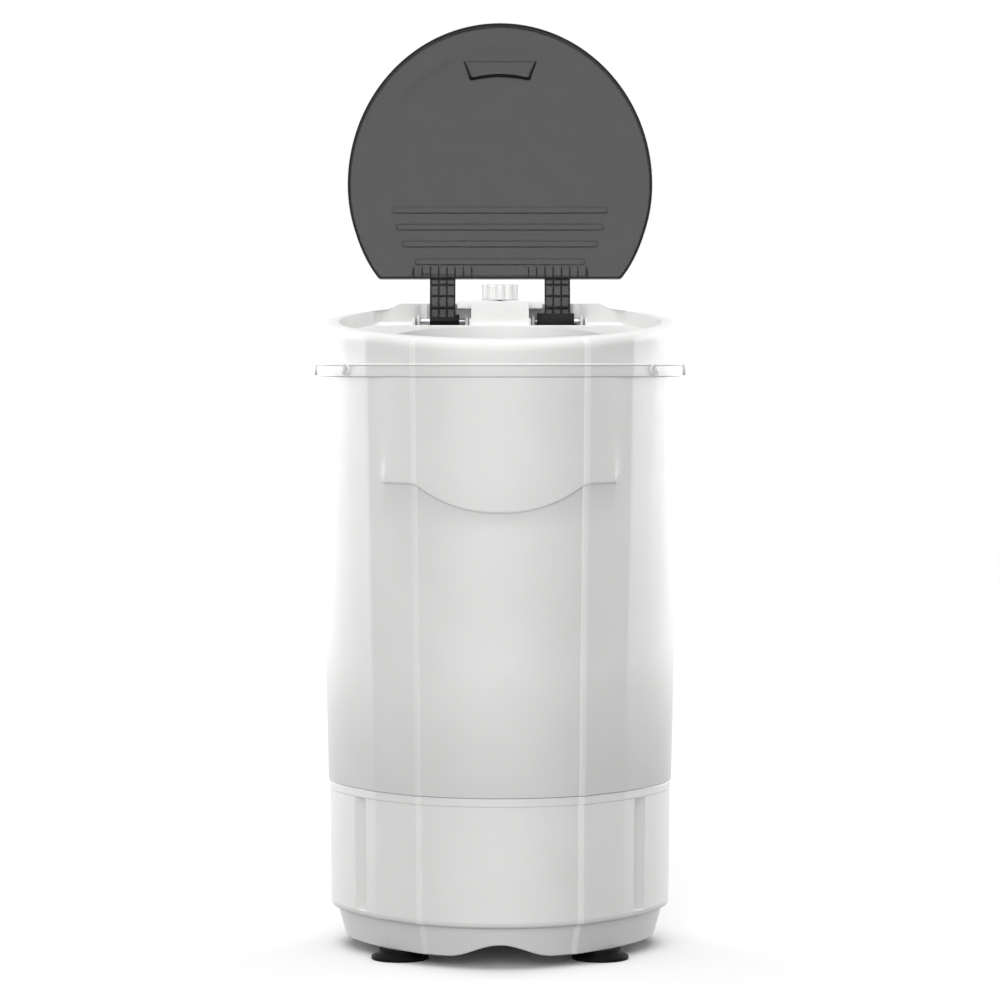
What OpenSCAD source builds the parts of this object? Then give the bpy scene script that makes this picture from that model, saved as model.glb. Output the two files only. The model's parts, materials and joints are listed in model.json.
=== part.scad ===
// Laundry spin dryer with a hinged smoked lid, a perforated basket driven straight by a
// sprung motor, a brake worked by the lid through a cable, and a timer on the rear console.
// Millimetres. Origin on the floor under the basket's axis, +Z up, front towards -Y.
// The model stands with its lid open.

/* [Cabinet outline] */
// Width of the body shell at the seam with the base
seam_w = 349; // [340:1:354]
// Depth of the body shell at the seam with the base
seam_d = 361; // [352:1:366]
// Half width of the bowed front panel at the seam
panel_half = 80; // [70:1:86]
// How far the front panel falls back from its middle to its edge
panel_drop = 24; // [18:1:28]
// Half width across the outer edges of the flat facets at the seam
facet_half = 124; // [116:1:130]
// How far the facets' outer edges lie behind the front of the panel
facet_drop = 63; // [56:1:68]
// How full the side between two facets is, 1 for a plain parabola
side_fullness = 1.2; // [1:0.05:1.3]
// Wall of the moulded shells
shell_wall = 3; // [2.4:0.1:3.4]

/* [Cabinet heights] */
// Height of the rubber feet
foot_h = 11; // [9:1:14]
// Height of the drawn-in plinth
plinth_h = 30; // [24:1:34]
// Height of the base above the plinth
base_h = 128; // [120:1:136]
// Height of the body shell that shows between base and top cover
body_h = 410; // [400:1:430]
// Height of the top cover's rim above its skirt edge, on the basket's axis
cover_h = 56.5; // [54:0.5:60]

/* [Base] */
// Extra width of the body over the base's upper edge
base_step = 2; // [1:0.5:4]
// How far the base tapers in width down to the plinth
base_taper = 3; // [0:1:6]
// How far the plinth's upper edge lies inside the base, on each side
plinth_inset = 7; // [5:0.5:9]
// How far the plinth tapers on each side down to its lower edge
plinth_taper = 8; // [4:1:10]
// Height of the raised band under the seam
band_h = 9; // [6:1:12]
// Height of the arch cut in the plinth's front and back
arch_h = 12.4; // [8:0.2:14]
// Half width of that arch
arch_half = 58; // [45:1:62]
// Width of the four upright grooves
groove_w = 20; // [12:1:22]
// Depth of the four upright grooves
groove_depth = 2; // [1:0.1:2.2]
// Distance of each groove's middle from the facet beside it
groove_gap = 26; // [16:0.5:29]
// Underside of the base's floor above the ground
floor_z = 36; // [34:1:38]
// Thickness of the base's floor
floor_t = 4; // [3:0.5:5]
// Height of the lip that holds the body shell
lip_h = 12; // [8:1:16]
// Clearance round that lip, and under the top cover's skirt
shell_gap = 0.4; // [0.3:0.05:0.6]

/* [Feet] */
// How far each foot's middle lies inside the seam's width
foot_inset_w = 75; // [71:0.5:82]
// How far each foot's middle lies inside the seam's depth
foot_inset_d = 81; // [77:0.5:88]
// Radius of a foot on the ground
foot_r = 28.5; // [24:0.5:30]
// Radius of a foot where it meets its post
foot_top_r = 21; // [18:0.5:23]
// Radius of the foot screws
foot_screw_r = 3; // [2.5:0.1:3.5]

/* [Body shell] */
// How much wider the body shell is at its top edge than at the seam
body_flare_w = 18; // [10:1:20]
// How much deeper the body shell is at its top edge than at the seam
body_flare_d = 8; // [4:1:12]
// How far the upper part of the front stands proud of the lower part
bib_proud = 1.8; // [1:0.1:2.4]
// Height of the bib's lowest point above the ground
bib_low_z = 447; // [410:1:460]
// Height of the bib's side corners above the ground
bib_high_z = 474; // [465:1:500]

/* [Top cover] */
// How far the top cover stands proud of the body, on each side
cover_proud = 2; // [1.5:0.1:3]
// Slope of the rim and of the lid's seat down to the front, in degrees
deck_slope = 6.2; // [5:0.1:7]
// Height of the bead above the skirt edge
bead_z = 11.7; // [10:0.1:14]
// How far the bead stands proud
bead_proud = 1; // [0.6:0.1:1.4]
// Height of the rim's rounding
rim_round_h = 12; // [10:0.5:14]
// Width of the rim's rounding
rim_round_w = 12; // [9:0.5:13]
// Top of the raised rear part above the rim, on the basket's axis
hump_rise = 19.5; // [17:0.5:22]
// Half width of the raised rear part, where its shoulders start
hump_half = 98; // [96:1:102]
// Thickness of the rim behind the hinges
rear_rim = 7; // [6:0.5:8]
// Height of the level ledge behind the lid above the rim, on the basket's axis (lower is negative)
ledge_rise = -0.5; // [-1:0.1:0]
// Half width of the timer's console
console_half = 45; // [30:1:45]
// Top of the console above the raised rear part
console_rise = 2; // [1:0.5:4]
// How much smaller than the tub the opening over the basket is, in radius
mouth_border = 47; // [46:1:56]
// How far that opening's middle lies in front of the basket's axis
mouth_front = 16; // [15:0.5:20]
// Depth of the collar that hangs round that opening
mouth_collar = 34; // [28:1:36]
// Radius of the screw bosses on the skirt
boss_r = 6; // [5:0.5:7]
// How far the screw bosses stand out
boss_out = 3; // [2:0.5:3.5]

/* [Lid] */
// How far the lid's round edge lies inside the seam's width, on each side
lid_inset_w = 13.5; // [13.5:0.5:18]
// How far the lid's front tip lies inside the seam's depth
lid_inset_d = 9; // [9:0.5:14]
// Distance from the hinge axis to the lid's straight edge
arm_reach = 45; // [44:0.5:47]
// Height of the lid's turned-down wall
lid_wall_h = 14; // [12:0.5:15]
// Thickness of the lid's plate and wall
lid_t = 2.2; // [1.8:0.1:2.6]
// Width of the flat border outside the raised middle
lid_border = 25; // [20:1:30]
// Height of the raised middle
lid_step = 2; // [1:0.5:3]
// Clearance round the closed lid
lid_gap = 2; // [1.5:0.1:2.5]
// How far the open lid leans back, in degrees
lid_lean = 4.5; // [4:0.5:5]
// Half length of the grip recess
grip_half = 36; // [30:1:40]
// Width of the grip recess
grip_w = 15; // [12:1:18]
// Depth of the grip recess
grip_depth = 10; // [8:0.5:12]

/* [Lid hinge] */
// Distance of the hinge axis from the back of the seam's outline
hinge_inset = 35.5; // [34.5:0.5:36.5]
// Height of the hinge axis above the rim, on the basket's axis
hinge_rise = 1; // [0.5:0.1:2]
// Distance of each arm's middle from the middle of the lid
arm_x = 60.5; // [59:0.5:61]
// Width of each arm
arm_w = 27; // [25:0.5:28]
// Radius of the arms' hubs
hub_r = 7; // [6.5:0.1:7.3]
// Radius of the hinge pins
pin_r = 2.5; // [2:0.1:3]
// Radial clearance of the lid on its pins
pin_gap = 0.06; // [0.04:0.01:0.1]
// Half width of each hinge pocket
pocket_half = 28.5; // [28:0.5:29]
// Depth of the hinge pockets below the hinge axis
pocket_depth = 15.5; // [15:0.5:17]
// Thickness of the brackets' ears
ear_t = 3; // [2.5:0.1:3.2]

/* [Brake] */
// Radius of the crank pin on the lid's actuator
crank_r = 7.3; // [6.8:0.1:7.5]
// Angle of the crank pin below level when the lid is open, in degrees
crank_start = 38; // [34:1:42]
// Radius of the brake drum
drum_r = 40; // [36:1:44]
// Width of the brake drum
drum_w = 12; // [10:1:14]
// Gap between the pad and the drum with the brake on
pad_gap = 0.3; // [0.3:0.05:0.5]
// Radius of the cable's sheath
sheath_r = 2.5; // [2:0.1:3]
// Radius of the cable's wire
wire_r = 1; // [0.8:0.1:1.1]

/* [Timer] */
// Radius of the knob over its lobes
knob_r = 21; // [16:0.5:21]
// Height of the knob
knob_h = 16.5; // [14:0.5:20]
// Distance of the knob's axis in front of the hinge axis
knob_ahead = 0.5; // [0:0.5:2]
// Radius of the timer's shaft
timer_shaft_r = 3; // [2.5:0.1:3.5]

/* [Basket and tub] */
// Room between the basket and the tub, in radius
basket_room = 18; // [14:1:26]
// Height of the basket
basket_h = 318; // [300:1:320]
// Thickness of the basket's sheet
basket_t = 1.2; // [0.8:0.1:1.6]
// Width of the basket's rolled rim
basket_rim_w = 18; // [14:1:26]
// Radius of the drain holes in the basket
drain_hole_r = 4; // [3:0.5:5]
// Number of drain holes in each row round the basket
drain_holes = 14; // [10:1:18]
// Number of rows of drain holes
drain_rows = 6; // [4:1:8]
// How far the tub stays inside the seam's width, on each side
tub_inset_w = 18.5; // [17.5:0.5:24]
// How far the tub stays inside the seam's depth, at the front and the back
tub_inset_d = 24.5; // [23.5:0.5:30]
// Wall of the tub
tub_wall = 3; // [2.5:0.1:3.5]
// Underside of the tub above the ground
tub_z = 200; // [198:1:202]
// Radius of the drain spigot
spigot_r = 10; // [8:0.5:11]
// Length of the drain spigot that takes a hose
spigot_len = 25; // [20:1:26]
// Width of the drain spigot's shoulder
spigot_flange = 2; // [1.5:0.5:3]
// Height of the drain spigot above the ground
spigot_z = 110; // [104:1:116]
// Wall of the drain hose
hose_wall = 2.5; // [2:0.1:3]

/* [Motor] */
// Radius of the motor's housing
motor_r = 62; // [58:1:66]
// Height of the motor's housing
motor_h = 85; // [84:1:88]
// Radius of the drive shaft
shaft_r = 8; // [6:0.5:9]
// Radius of the plate that carries the motor
plate_r = 112; // [108:1:114]
// Thickness of that plate
plate_t = 3; // [2:0.5:4]
// Height of the plate's underside above the base's floor
plate_rise = 44; // [42:1:46]
// Distance of the springs from the axis
spring_ring_r = 92; // [86:1:94]
// Radius of a spring's coil, to the middle of its wire
coil_r = 13; // [11:0.5:14]
// Radius of a spring's wire
coil_wire_r = 1.6; // [1.2:0.1:2]
// Number of turns in a spring
coil_turns = 5; // [4:1:6]

/* [Hidden] */

$fn = 64;
eps = 0.01;
seat = 0.3;                 // gap between a piece and the piece of another body that it rests by
fit = 0.1;                  // gap between two pieces that are pushed together by hand

// Places that follow the cabinet's outline
facet_y = seam_d / 2 - facet_drop;
panel_y = seam_d / 2 - panel_drop;
panel_r = (panel_half * panel_half + panel_drop * panel_drop) / (2 * panel_drop);
foot_x = seam_w / 2 - foot_inset_w;
foot_y = seam_d / 2 - foot_inset_d;
groove_y = facet_y - groove_gap;
hinge_y = seam_d / 2 - hinge_inset;
knob_y = hinge_y - knob_ahead;
lid_r = seam_w / 2 - lid_inset_w;
lid_front = seam_d / 2 - lid_inset_d;
lid_back = hinge_y - arm_reach;        // puts the lid's widest line over the basket's axis
tub_r = min(seam_w / 2 - tub_inset_w, seam_d / 2 - tub_inset_d);
basket_r = tub_r - basket_room;
basket_mouth_r = basket_r - basket_rim_w;
mouth_r = tub_r - mouth_border;

// Heights
step_z = foot_h + plinth_h;
seam_z = step_z + base_h;
skirt_z = seam_z + body_h;
rim_z = skirt_z + cover_h;
hump_z = rim_z + hump_rise;
ledge_z = rim_z + ledge_rise;
console_z = hump_z + console_rise;
hinge_z = rim_z + hinge_rise;
slope = tan(deck_slope);
floor_top = floor_z + floor_t;

// Widths and depths of the shells
body_w = seam_w + body_flare_w;
body_d = seam_d + body_flare_d;
cover_w = body_w + 2 * cover_proud;
cover_d = body_d + 2 * cover_proud;
base_w = seam_w - base_step;
base_d = seam_d - base_step;
base_low_w = base_w - base_taper;
base_low_d = base_d - base_taper;
plinth_w = base_low_w - 2 * plinth_inset;
plinth_d = base_low_d - 2 * plinth_inset;
plinth_low_w = plinth_w - 2 * plinth_taper;
plinth_low_d = plinth_d - 2 * plinth_taper;

// Console, hinge pockets and lid travel
pocket_back = hinge_y + hub_r + 6;
console_back = hinge_y + 21;
pocket_floor_z = hinge_z - pocket_depth;
chord_y = hinge_y - arm_reach * cos(deck_slope);
close_angle = 90 + deck_slope + lid_lean;
lid_top_w = lid_wall_h + 1;            // outer face of the closed lid over the hinge axis
crank_pin_r = 1.3;
crank_low = crank_r * sin(crank_start);
crank_high = crank_r * sin(close_angle - crank_start);
cable_pull = crank_low + crank_high;   // travel of the cable over the lid's whole swing
yoke_x = arm_x + 19.5;                 // middle of the yoke's plate
yoke_y = hinge_y + crank_r - 1;        // middle of the yoke's stem

// Switch cam and plunger
switch_travel = 2;
cam_base = 8;
cam_rate = switch_travel / close_angle * 180 / PI;
cam_x = -arm_x + arm_w / 2 + 2.2;
switch_h = 18;
plunger_r = 1.8;
plunger_top = hinge_z - cam_base - seat;

// Guide of the yoke's stem
guide_r = 3.2;
stem_r = 1.5;
guide_len = cable_pull + 20;
guide_low_z = pocket_floor_z - shell_wall - guide_len;

// Lid's bars, cover's bosses and the timer's place
bar_u = [74, 56, 38, 19];              // height of each embossed bar above the lid's straight edge
bar_half = [114, 110, 103.5, 90];      // half length of each of those bars
bar_w = 7;
boss_z = skirt_z + 7;
boss_y = facet_y - 14.5;
knob_gap = 1.5;
timer_h = 26;
timer_top = console_z - shell_wall - eps;

// Air slots in the base's floor
vent_pitch = 12;
vent_w = 5;
vent_half = 70;

// Motor stack
plate_z = floor_top + plate_rise;
motor_z = plate_z + plate_t;
motor_top = motor_z + motor_h;
bearing_h = 10;
bearing_r = shaft_r + 9.5;
stator_h = 42;
stator_r = 34;
stator_z = motor_z + 24;
drum_z = motor_top + 7;
drum_mid_z = drum_z + drum_w / 2;
lever_y = drum_r + 12;
lever_pivot_x = -35;
lever_reach = 95;
fork_x = lever_pivot_x + lever_reach;
lever_h = 6;
lever_w = 7;
nipple_r = 3;
pad_half = 8;
lower_bearing_z = motor_z + 3 + eps;
upper_bearing_z = motor_top - 3 - bearing_h - eps;
bolt_ring_r = motor_r + 14;
bolt_r = 3;
bolt_head = 4;
bush_flange = 2;
block_x = 89;
block_y = 48;
cap_x = -88;
cap_y = 20;
cap_r = 16;
cap_len = 66;

// Tub and basket
tub_floor_top = tub_z + tub_wall;
seal_r = 32;
seal_h = 11;                           // height of the tub's centre hole, which the seal grips
basket_z = tub_z + 38;
basket_top = basket_z + basket_h;
deck_low_z = hinge_z - (hinge_y + 170) * slope;
tub_top = deck_low_z - shell_wall - 6;
tub_boss_h = 14;
mouth_low_z = deck_low_z - mouth_collar + 6;
hub_h = 20;
hub_flange_r = 60;
hub_neck_r = 22;
hub_cap_r = 34;
tub_boss_r = 5.5;
hose_y = tub_r - 38;
hose_bend = 24;
hose_r = spigot_r + hose_wall + fit;
nozzle_len = 16;
spigot_tip = seam_d / 2 + 3;
well_y = spigot_tip - spigot_len - spigot_flange;
well_r = 24;
hose_top = tub_z - 2;
hose_end = well_y - shell_wall - 2;

// Seat of the mains cord's gland, sunk flat in the base's rear wall
gland_x = -48;
gland_y = seam_d / 2 - 16.5;
gland_z = 80;
gland_r = 8;

// Route of the brake cable's sheath: out under the tub, up between tub and body, over to the yoke
ferrule_y = drum_r + 72;
cable_y = seam_d / 2 - shell_wall - panel_r + sqrt(panel_r * panel_r - fork_x * fork_x) - 10.5;
sheath_end = [yoke_x, yoke_y, guide_low_z - eps];
cable_bend = 34;
cable_shift = 95;
cable_foot = [for (a = [0 : 10 : 90])
    [fork_x, cable_y - cable_bend * (1 - sin(a)), drum_mid_z + cable_bend * (1 - cos(a))]];
cable_head = [for (i = [0 : 8]) let (t = i / 8, f = t * t * (3 - 2 * t))
    [fork_x + (yoke_x - fork_x) * f, cable_y + (yoke_y - cable_y) * f,
        sheath_end[2] - 6 - cable_shift * (1 - t)]];
cable_rise = cable_head[0][2] - cable_foot[9][2];
sheath_route = concat([[fork_x, ferrule_y, drum_mid_z]], cable_foot,
    [for (i = [1 : 7]) cable_foot[9] + [0, 0, cable_rise * i / 8]], cable_head, [sheath_end]);

// ---- Shared shapes -------------------------------------------------------------------

// Arc from p to q that bows outwards by s, for an outline drawn counter-clockwise
function bow(p, q, s, n) =
    let (h = norm(q - p) / 2, r = (h * h + s * s) / (2 * s), u = (q - p) / norm(q - p),
         v = [u[1], -u[0]], c = (p + q) / 2 - v * (r - s), a = asin(h / r))
    [for (i = [0 : n]) let (t = -a + 2 * a * i / n) c + r * (v * cos(t) + u * sin(t))];

// Half width of the side at share t of the way from the side's middle to a facet
function side_x(t) = seam_w / 2
    - (seam_w / 2 - facet_half) * (side_fullness * t * t + (1 - side_fullness) * t * t * t * t);

arc_n = 16;
half_outline = concat(
    bow([-panel_half, -panel_y], [panel_half, -panel_y], panel_drop, arc_n),
    [for (i = [0 : arc_n]) let (t = 1 - 2 * i / arc_n) [side_x(abs(t)), -facet_y * t]]);
outline = concat(half_outline, [for (p = half_outline) -p]);

// One level of a shell: width, depth, height, slope of its plane, and how round it is
function ring(w, d, z, tilt = 0, round = 0) = [for (p = outline)
    let (x = p[0] * w / seam_w, y = p[1] * d / seam_d, a = atan2(y / d, x / w),
         px = x * (1 - round) + w / 2 * cos(a) * round, py = y * (1 - round) + d / 2 * sin(a) * round)
    [px, py, z + tilt * py]];

module loft(rings) {
    n = len(rings[0]);
    m = len(rings);
    polyhedron(points = [for (r = rings) each r],
        faces = concat([[for (i = [0 : n - 1]) i]], [[for (i = [n - 1 : -1 : 0]) (m - 1) * n + i]],
            [for (k = [0 : m - 2], i = [0 : n - 1], h = [0, 1])
                let (a = k * n + i, b = k * n + (i + 1) % n)
                h == 0 ? [a, a + n, b + n] : [a, b + n, b]]));
}

// Tube of radius r along a route, square to each leg, with flat ends
module tube_along(route, r, sides) {
    n = len(route);
    dirs = [for (i = [0 : n - 1]) let (d = route[min(i + 1, n - 1)] - route[max(i - 1, 0)])
        d / norm(d)];
    points = [for (i = [0 : n - 1]) let (t = dirs[i],
        u0 = cross(t, abs(t[0]) < 0.9 ? [1, 0, 0] : [0, 1, 0]), u = u0 / norm(u0), v = cross(t, u))
        for (k = [0 : sides - 1]) route[i] + r * (u * cos(360 * k / sides) + v * sin(360 * k / sides))];
    polyhedron(points = points,
        faces = concat([[for (k = [sides - 1 : -1 : 0]) k]],
            [[for (k = [0 : sides - 1]) (n - 1) * sides + k]],
            [for (i = [0 : n - 2], k = [0 : sides - 1], h = [0, 1])
                let (a = i * sides + k, b = i * sides + (k + 1) % sides)
                h == 0 ? [a, b, b + sides] : [a, b + sides, a + sides]]));
}

// Cylinder along +X or +Y from a point
module rod_x(x0, x1, y, z, r) { translate([x0, y, z]) rotate([0, 90, 0]) cylinder(r = r, h = x1 - x0); }
module rod_y(x, y0, y1, z, r) { translate([x, y0, z]) rotate([-90, 0, 0]) cylinder(r = r, h = y1 - y0); }
module block(x0, x1, y0, y1, z0, z1) { translate([x0, y0, z0]) cube([x1 - x0, y1 - y0, z1 - z0]); }

module at_feet() {
    for (sx = [-1, 1], sy = [-1, 1]) translate([sx * foot_x, sy * foot_y, 0]) children();
}

// Cross-recessed screw, head up, with its seat at z = 0
module screw(r, length) {
    difference() {
        union() {
            translate([0, 0, -length]) cylinder(r = r, h = length + eps);
            cylinder(r1 = 1.9 * r, r2 = 1.5 * r, h = r);
        }
        for (a = [0, 90]) rotate([0, 0, a]) translate([-1.1 * r, -0.22 * r, 0.4 * r])
            cube([2.2 * r, 0.44 * r, r]);
    }
}

// ---- Base ----------------------------------------------------------------------------

module base_outer() {
    loft([ring(plinth_low_w, plinth_low_d, foot_h), ring(plinth_w, plinth_d, step_z),
        ring(base_low_w - 2, base_low_d - 2, step_z + 3), ring(base_low_w, base_low_d, step_z + 7),
        ring(base_w - 1, base_d - 1, seam_z - band_h), ring(base_w, base_d, seam_z - band_h + 1),
        ring(base_w, base_d, seam_z - shell_gap)]);
}

module base_lip() {
    inner = 2 * (shell_wall + shell_gap);
    difference() {
        loft([ring(base_w - 4, base_d - 4, seam_z - 8),
            ring(seam_w - inner, seam_d - inner, seam_z - shell_gap - eps),
            ring(seam_w - inner, seam_d - inner, seam_z + lip_h)]);
        loft([ring(base_w - 2 * shell_wall, base_d - 2 * shell_wall, seam_z - 9),
            ring(seam_w - inner - 5, seam_d - inner - 5, seam_z - shell_gap),
            ring(seam_w - inner - 5, seam_d - inner - 5, seam_z + lip_h + 1)]);
    }
}

module base_hollow() {
    w = 2 * shell_wall;
    loft([ring(base_low_w - w - 2, base_low_d - w - 2, floor_top + 4),
        ring(base_low_w - w, base_low_d - w, step_z + 12),
        ring(base_w - 1 - w, base_d - 1 - w, seam_z + 1)]);
    loft([ring(plinth_w - w - 1, plinth_d - w - 1, floor_top),
        ring(plinth_w - w + 4, plinth_d - w + 4, floor_top + 4 + eps)]);
    loft([ring(plinth_low_w - w, plinth_low_d - w, foot_h - 1),
        ring(plinth_w - w - 3, plinth_d - w - 3, floor_z)]);
}

// Arch cut along Y through the plinth's lower edge
module plinth_arch() {
    n = 16;
    translate([0, seam_d / 2, 0]) rotate([90, 0, 0]) linear_extrude(seam_d) polygon(concat(
        [[-arch_half, foot_h - 2]],
        [for (i = [0 : n]) let (x = -arch_half + 2 * arch_half * i / n)
            [x, foot_h + arch_h * (1 + cos(180 * x / arch_half)) / 2]],
        [[arch_half, foot_h - 2]]));
}

module grooves() {
    x = side_x(groove_y / facet_y) * base_low_w / seam_w;
    for (sx = [-1, 1], sy = [-1, 1]) translate([sx * x, sy * groove_y, 0])
        rotate([0, 0, atan2(sy * groove_y, sx * x)])
            translate([-groove_depth, -groove_w / 2, step_z + 2])
                cube([20, groove_w, base_h - band_h - 2]);
}

module base_shell() {
    color("white") difference() {
        union() {
            difference() {
                base_outer();
                base_hollow();
                plinth_arch();
                grooves();
            }
            base_lip();
            intersection() {
                base_outer();
                at_feet() translate([0, 0, foot_h]) cylinder(r = foot_top_r, h = floor_z - foot_h + 1);
            }
            for (a = [90, 210, 330]) rotate([0, 0, a]) translate([spring_ring_r, 0, floor_top - 1])
                cylinder(r = coil_r - coil_wire_r - 1, h = 5);
            intersection() {
                base_outer();
                rod_y(gland_x, gland_y - shell_wall, seam_d / 2, gland_z, gland_r + 7);
            }
        }
        at_feet() translate([0, 0, foot_h - 1])
            cylinder(r = foot_screw_r + fit, h = floor_top - foot_h - 3);
        rod_y(0, well_y, seam_d, spigot_z, well_r + shell_wall + fit);
        rod_y(gland_x, gland_y - 10, seam_d, gland_z, gland_r + fit);
        rod_y(gland_x, gland_y, seam_d, gland_z, gland_r + 4);
        for (k = [-2.5 : 2.5]) translate([vent_pitch * k, 0, 0])
            block(-vent_w / 2, vent_w / 2, -vent_half, vent_half, floor_z - 1, floor_top + 1);
    }
}

// Cup let into the rear wall round the drain spigot
module drain_well() {
    color("white") difference() {
        intersection() {
            base_outer();
            rod_y(0, well_y - shell_wall, seam_d / 2, spigot_z, well_r + shell_wall);
        }
        rod_y(0, well_y, seam_d, spigot_z, well_r);
        rod_y(0, well_y - shell_wall - 1, seam_d, spigot_z, spigot_r + fit);
    }
}

module rubber_feet() {
    color([0.06, 0.06, 0.06]) at_feet() difference() {
        rotate_extrude() polygon([[0, 0], [foot_r - 1, 0], [foot_r, 1], [foot_r, 3.2],
            [foot_r - 4, 5.2], [foot_top_r + 0.6, 7], [foot_top_r, foot_h - 0.01], [0, foot_h - 0.01]]);
        translate([0, 0, -1]) cylinder(r = foot_screw_r + fit, h = foot_h + 2);
        translate([0, 0, -1]) cylinder(r = 2.6 * foot_screw_r, h = 5);
    }
}

module foot_screws() {
    color("silver") at_feet() translate([0, 0, 4 - eps]) rotate([180, 0, 0])
        screw(foot_screw_r, floor_z - 8);
}

// ---- Body shell ----------------------------------------------------------------------

module body_solid(grow, z0, z1) {
    rise = (z1 - seam_z) / body_h;
    low = (z0 - seam_z) / body_h;
    loft([ring(seam_w + body_flare_w * low + 2 * grow, seam_d + body_flare_d * low + 2 * grow, z0),
        ring(seam_w + body_flare_w * rise + 2 * grow, seam_d + body_flare_d * rise + 2 * grow, z1)]);
}

// Bib outline in X and Z: a shallow curve under the front panel and level lines across the facets
module bib_front() {
    n = 16;
    half = panel_half + 2;
    translate([0, -40, 0]) rotate([90, 0, 0]) linear_extrude(seam_d / 2) polygon(concat(
        [[-facet_half + 10, skirt_z - eps], [-facet_half + 10, bib_high_z]],
        [for (i = [0 : n]) let (x = -half + 2 * half * i / n)
            [x, bib_low_z + (bib_high_z - bib_low_z) * pow(abs(x) / half, 2.3)]],
        [[facet_half - 10, bib_high_z], [facet_half - 10, skirt_z - eps]]));
}

module body_shell() {
    neck_w = cover_w - 2 * (shell_wall + shell_gap);
    neck_d = cover_d - 2 * (shell_wall + shell_gap);
    color("white") difference() {
        union() {
            body_solid(0, seam_z, skirt_z - shell_gap);
            intersection() {
                body_solid(bib_proud, bib_low_z - 30, skirt_z - shell_gap);
                bib_front();
            }
            loft([ring(body_w - 3 * shell_wall, body_d - 3 * shell_wall, skirt_z - 6),
                ring(neck_w, neck_d, skirt_z - shell_gap - eps), ring(neck_w, neck_d, skirt_z + 14)]);
        }
        body_solid(-shell_wall, seam_z - 1, skirt_z - 8);
        loft([ring(body_w - 2 * shell_wall - 2, body_d - 2 * shell_wall - 2, skirt_z - 8 - eps),
            ring(neck_w - 5, neck_d - 5, skirt_z), ring(neck_w - 5, neck_d - 5, skirt_z + 15)]);
        at_bosses() translate([-30, 0, 0]) rotate([0, 90, 0]) cylinder(r = 2 + fit, h = 40);
    }
}

// ---- Top cover -----------------------------------------------------------------------

boss_x = side_x(boss_y / (facet_y * cover_d / seam_d)) * cover_w / seam_w;

// Six bosses round the skirt, each with +X pointing out of the skirt
module at_bosses() {
    for (sx = [-1, 1], y = [-boss_y, 0, boss_y]) let (x = sx * (y == 0 ? cover_w / 2 : boss_x))
        translate([x, y, boss_z]) rotate([0, 0, y == 0 ? (sx > 0 ? 0 : 180) : atan2(y, x)]) children();
}

module cover_outer() {
    round_n = 4;
    loft(concat(
        [ring(cover_w, cover_d, skirt_z), ring(cover_w, cover_d, skirt_z + bead_z - 1),
            ring(cover_w + 2 * bead_proud, cover_d + 2 * bead_proud, skirt_z + bead_z),
            ring(cover_w, cover_d, skirt_z + bead_z + 1), ring(cover_w, cover_d, skirt_z + bead_z + 6)],
        [for (i = [0 : round_n]) let (a = 90 * i / round_n, inset = 2 * rim_round_w * (1 - cos(a)))
            ring(cover_w - inset, cover_d - inset, rim_z - rim_round_h * (1 - sin(a)), slope,
                0.5 * i / round_n)]));
}

// Raised rear part, level on top, with eased shoulders down to the rim
module hump_outer() {
    n = 6;
    shoulder = 30;
    drop = 16;
    intersection() {
        loft([ring(cover_w, cover_d, skirt_z + bead_z + 4), ring(cover_w, cover_d, hump_z - 5),
            ring(cover_w - 3, cover_d - 3, hump_z - 1.5), ring(cover_w - 10, cover_d - 10, hump_z)]);
        translate([0, cover_d, 0]) rotate([90, 0, 0]) linear_extrude(cover_d - chord_y + 5) polygon(concat(
            [[-hump_half - shoulder, skirt_z + bead_z + 5]],
            [for (i = [0 : n]) let (fall = drop * (1 + cos(180 * i / n)) / 2)
                [-hump_half - shoulder * (1 - i / n), hump_z - fall]],
            [for (i = [0 : n]) let (fall = drop * (1 - cos(180 * i / n)) / 2)
                [hump_half + shoulder * i / n, hump_z - fall]],
            [[hump_half + shoulder, skirt_z + bead_z + 5]]));
    }
}

module console_outer() {
    translate([0, chord_y + 8, 0]) linear_extrude(console_z) difference() {
        translate([-console_half, 0]) square([2 * console_half, console_back - chord_y - 8]);
        for (s = [-1, 1]) translate([s * console_half, 0]) rotate([0, 0, 45]) square(6, center = true);
    }
}

// Outline of the lid in its own plane: x across, u away from the hinge axis, grown by g
function lid_outline(g) =
    let (c = arm_reach + lid_back, r = lid_r + g, b = lid_front + g, a0 = asin((lid_back + g) / r))
    concat([for (i = [0 : 8]) let (a = -a0 + a0 * i / 8) [r * cos(a), c + r * sin(a)]],
        [for (i = [1 : 35]) let (a = 5 * i) [r * cos(a), c + b * sin(a)]],
        [for (i = [0 : 8]) let (a = 180 + a0 * i / 8) [r * cos(a), c + r * sin(a)]]);

// Space in the plane of the closed lid, from depth w0 to w1 over the hinge axis
module deck_space(g, w0, w1) {
    translate([0, hinge_y, hinge_z]) rotate([deck_slope, 0, 0]) translate([0, 0, w0])
        linear_extrude(w1 - w0) mirror([0, 1]) polygon(lid_outline(g));
}

// Recess behind the lid's straight edge, down to the ledge, on both sides of the console
module rear_space(grow, z0) {
    w = cover_w - 24 + 2 * grow;
    d = cover_d - 2 * rear_rim + 2 * grow;
    translate([0, 0, z0]) linear_extrude(60) difference() {
        intersection() {
            polygon([for (p = outline) [p[0] * w / seam_w, p[1] * d / seam_d]]);
            translate([-200, chord_y - lid_gap - eps]) square([400, 200]);
        }
        translate([-console_half + grow, chord_y + 8 + grow]) square([2 * (console_half - grow), 200]);
    }
}

module hinge_pockets(grow, z1) {
    for (s = [-1, 1]) block(s * arm_x - pocket_half - grow, s * arm_x + pocket_half + grow,
        chord_y - 6 - grow, pocket_back + grow, pocket_floor_z - grow, z1);
}

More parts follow.
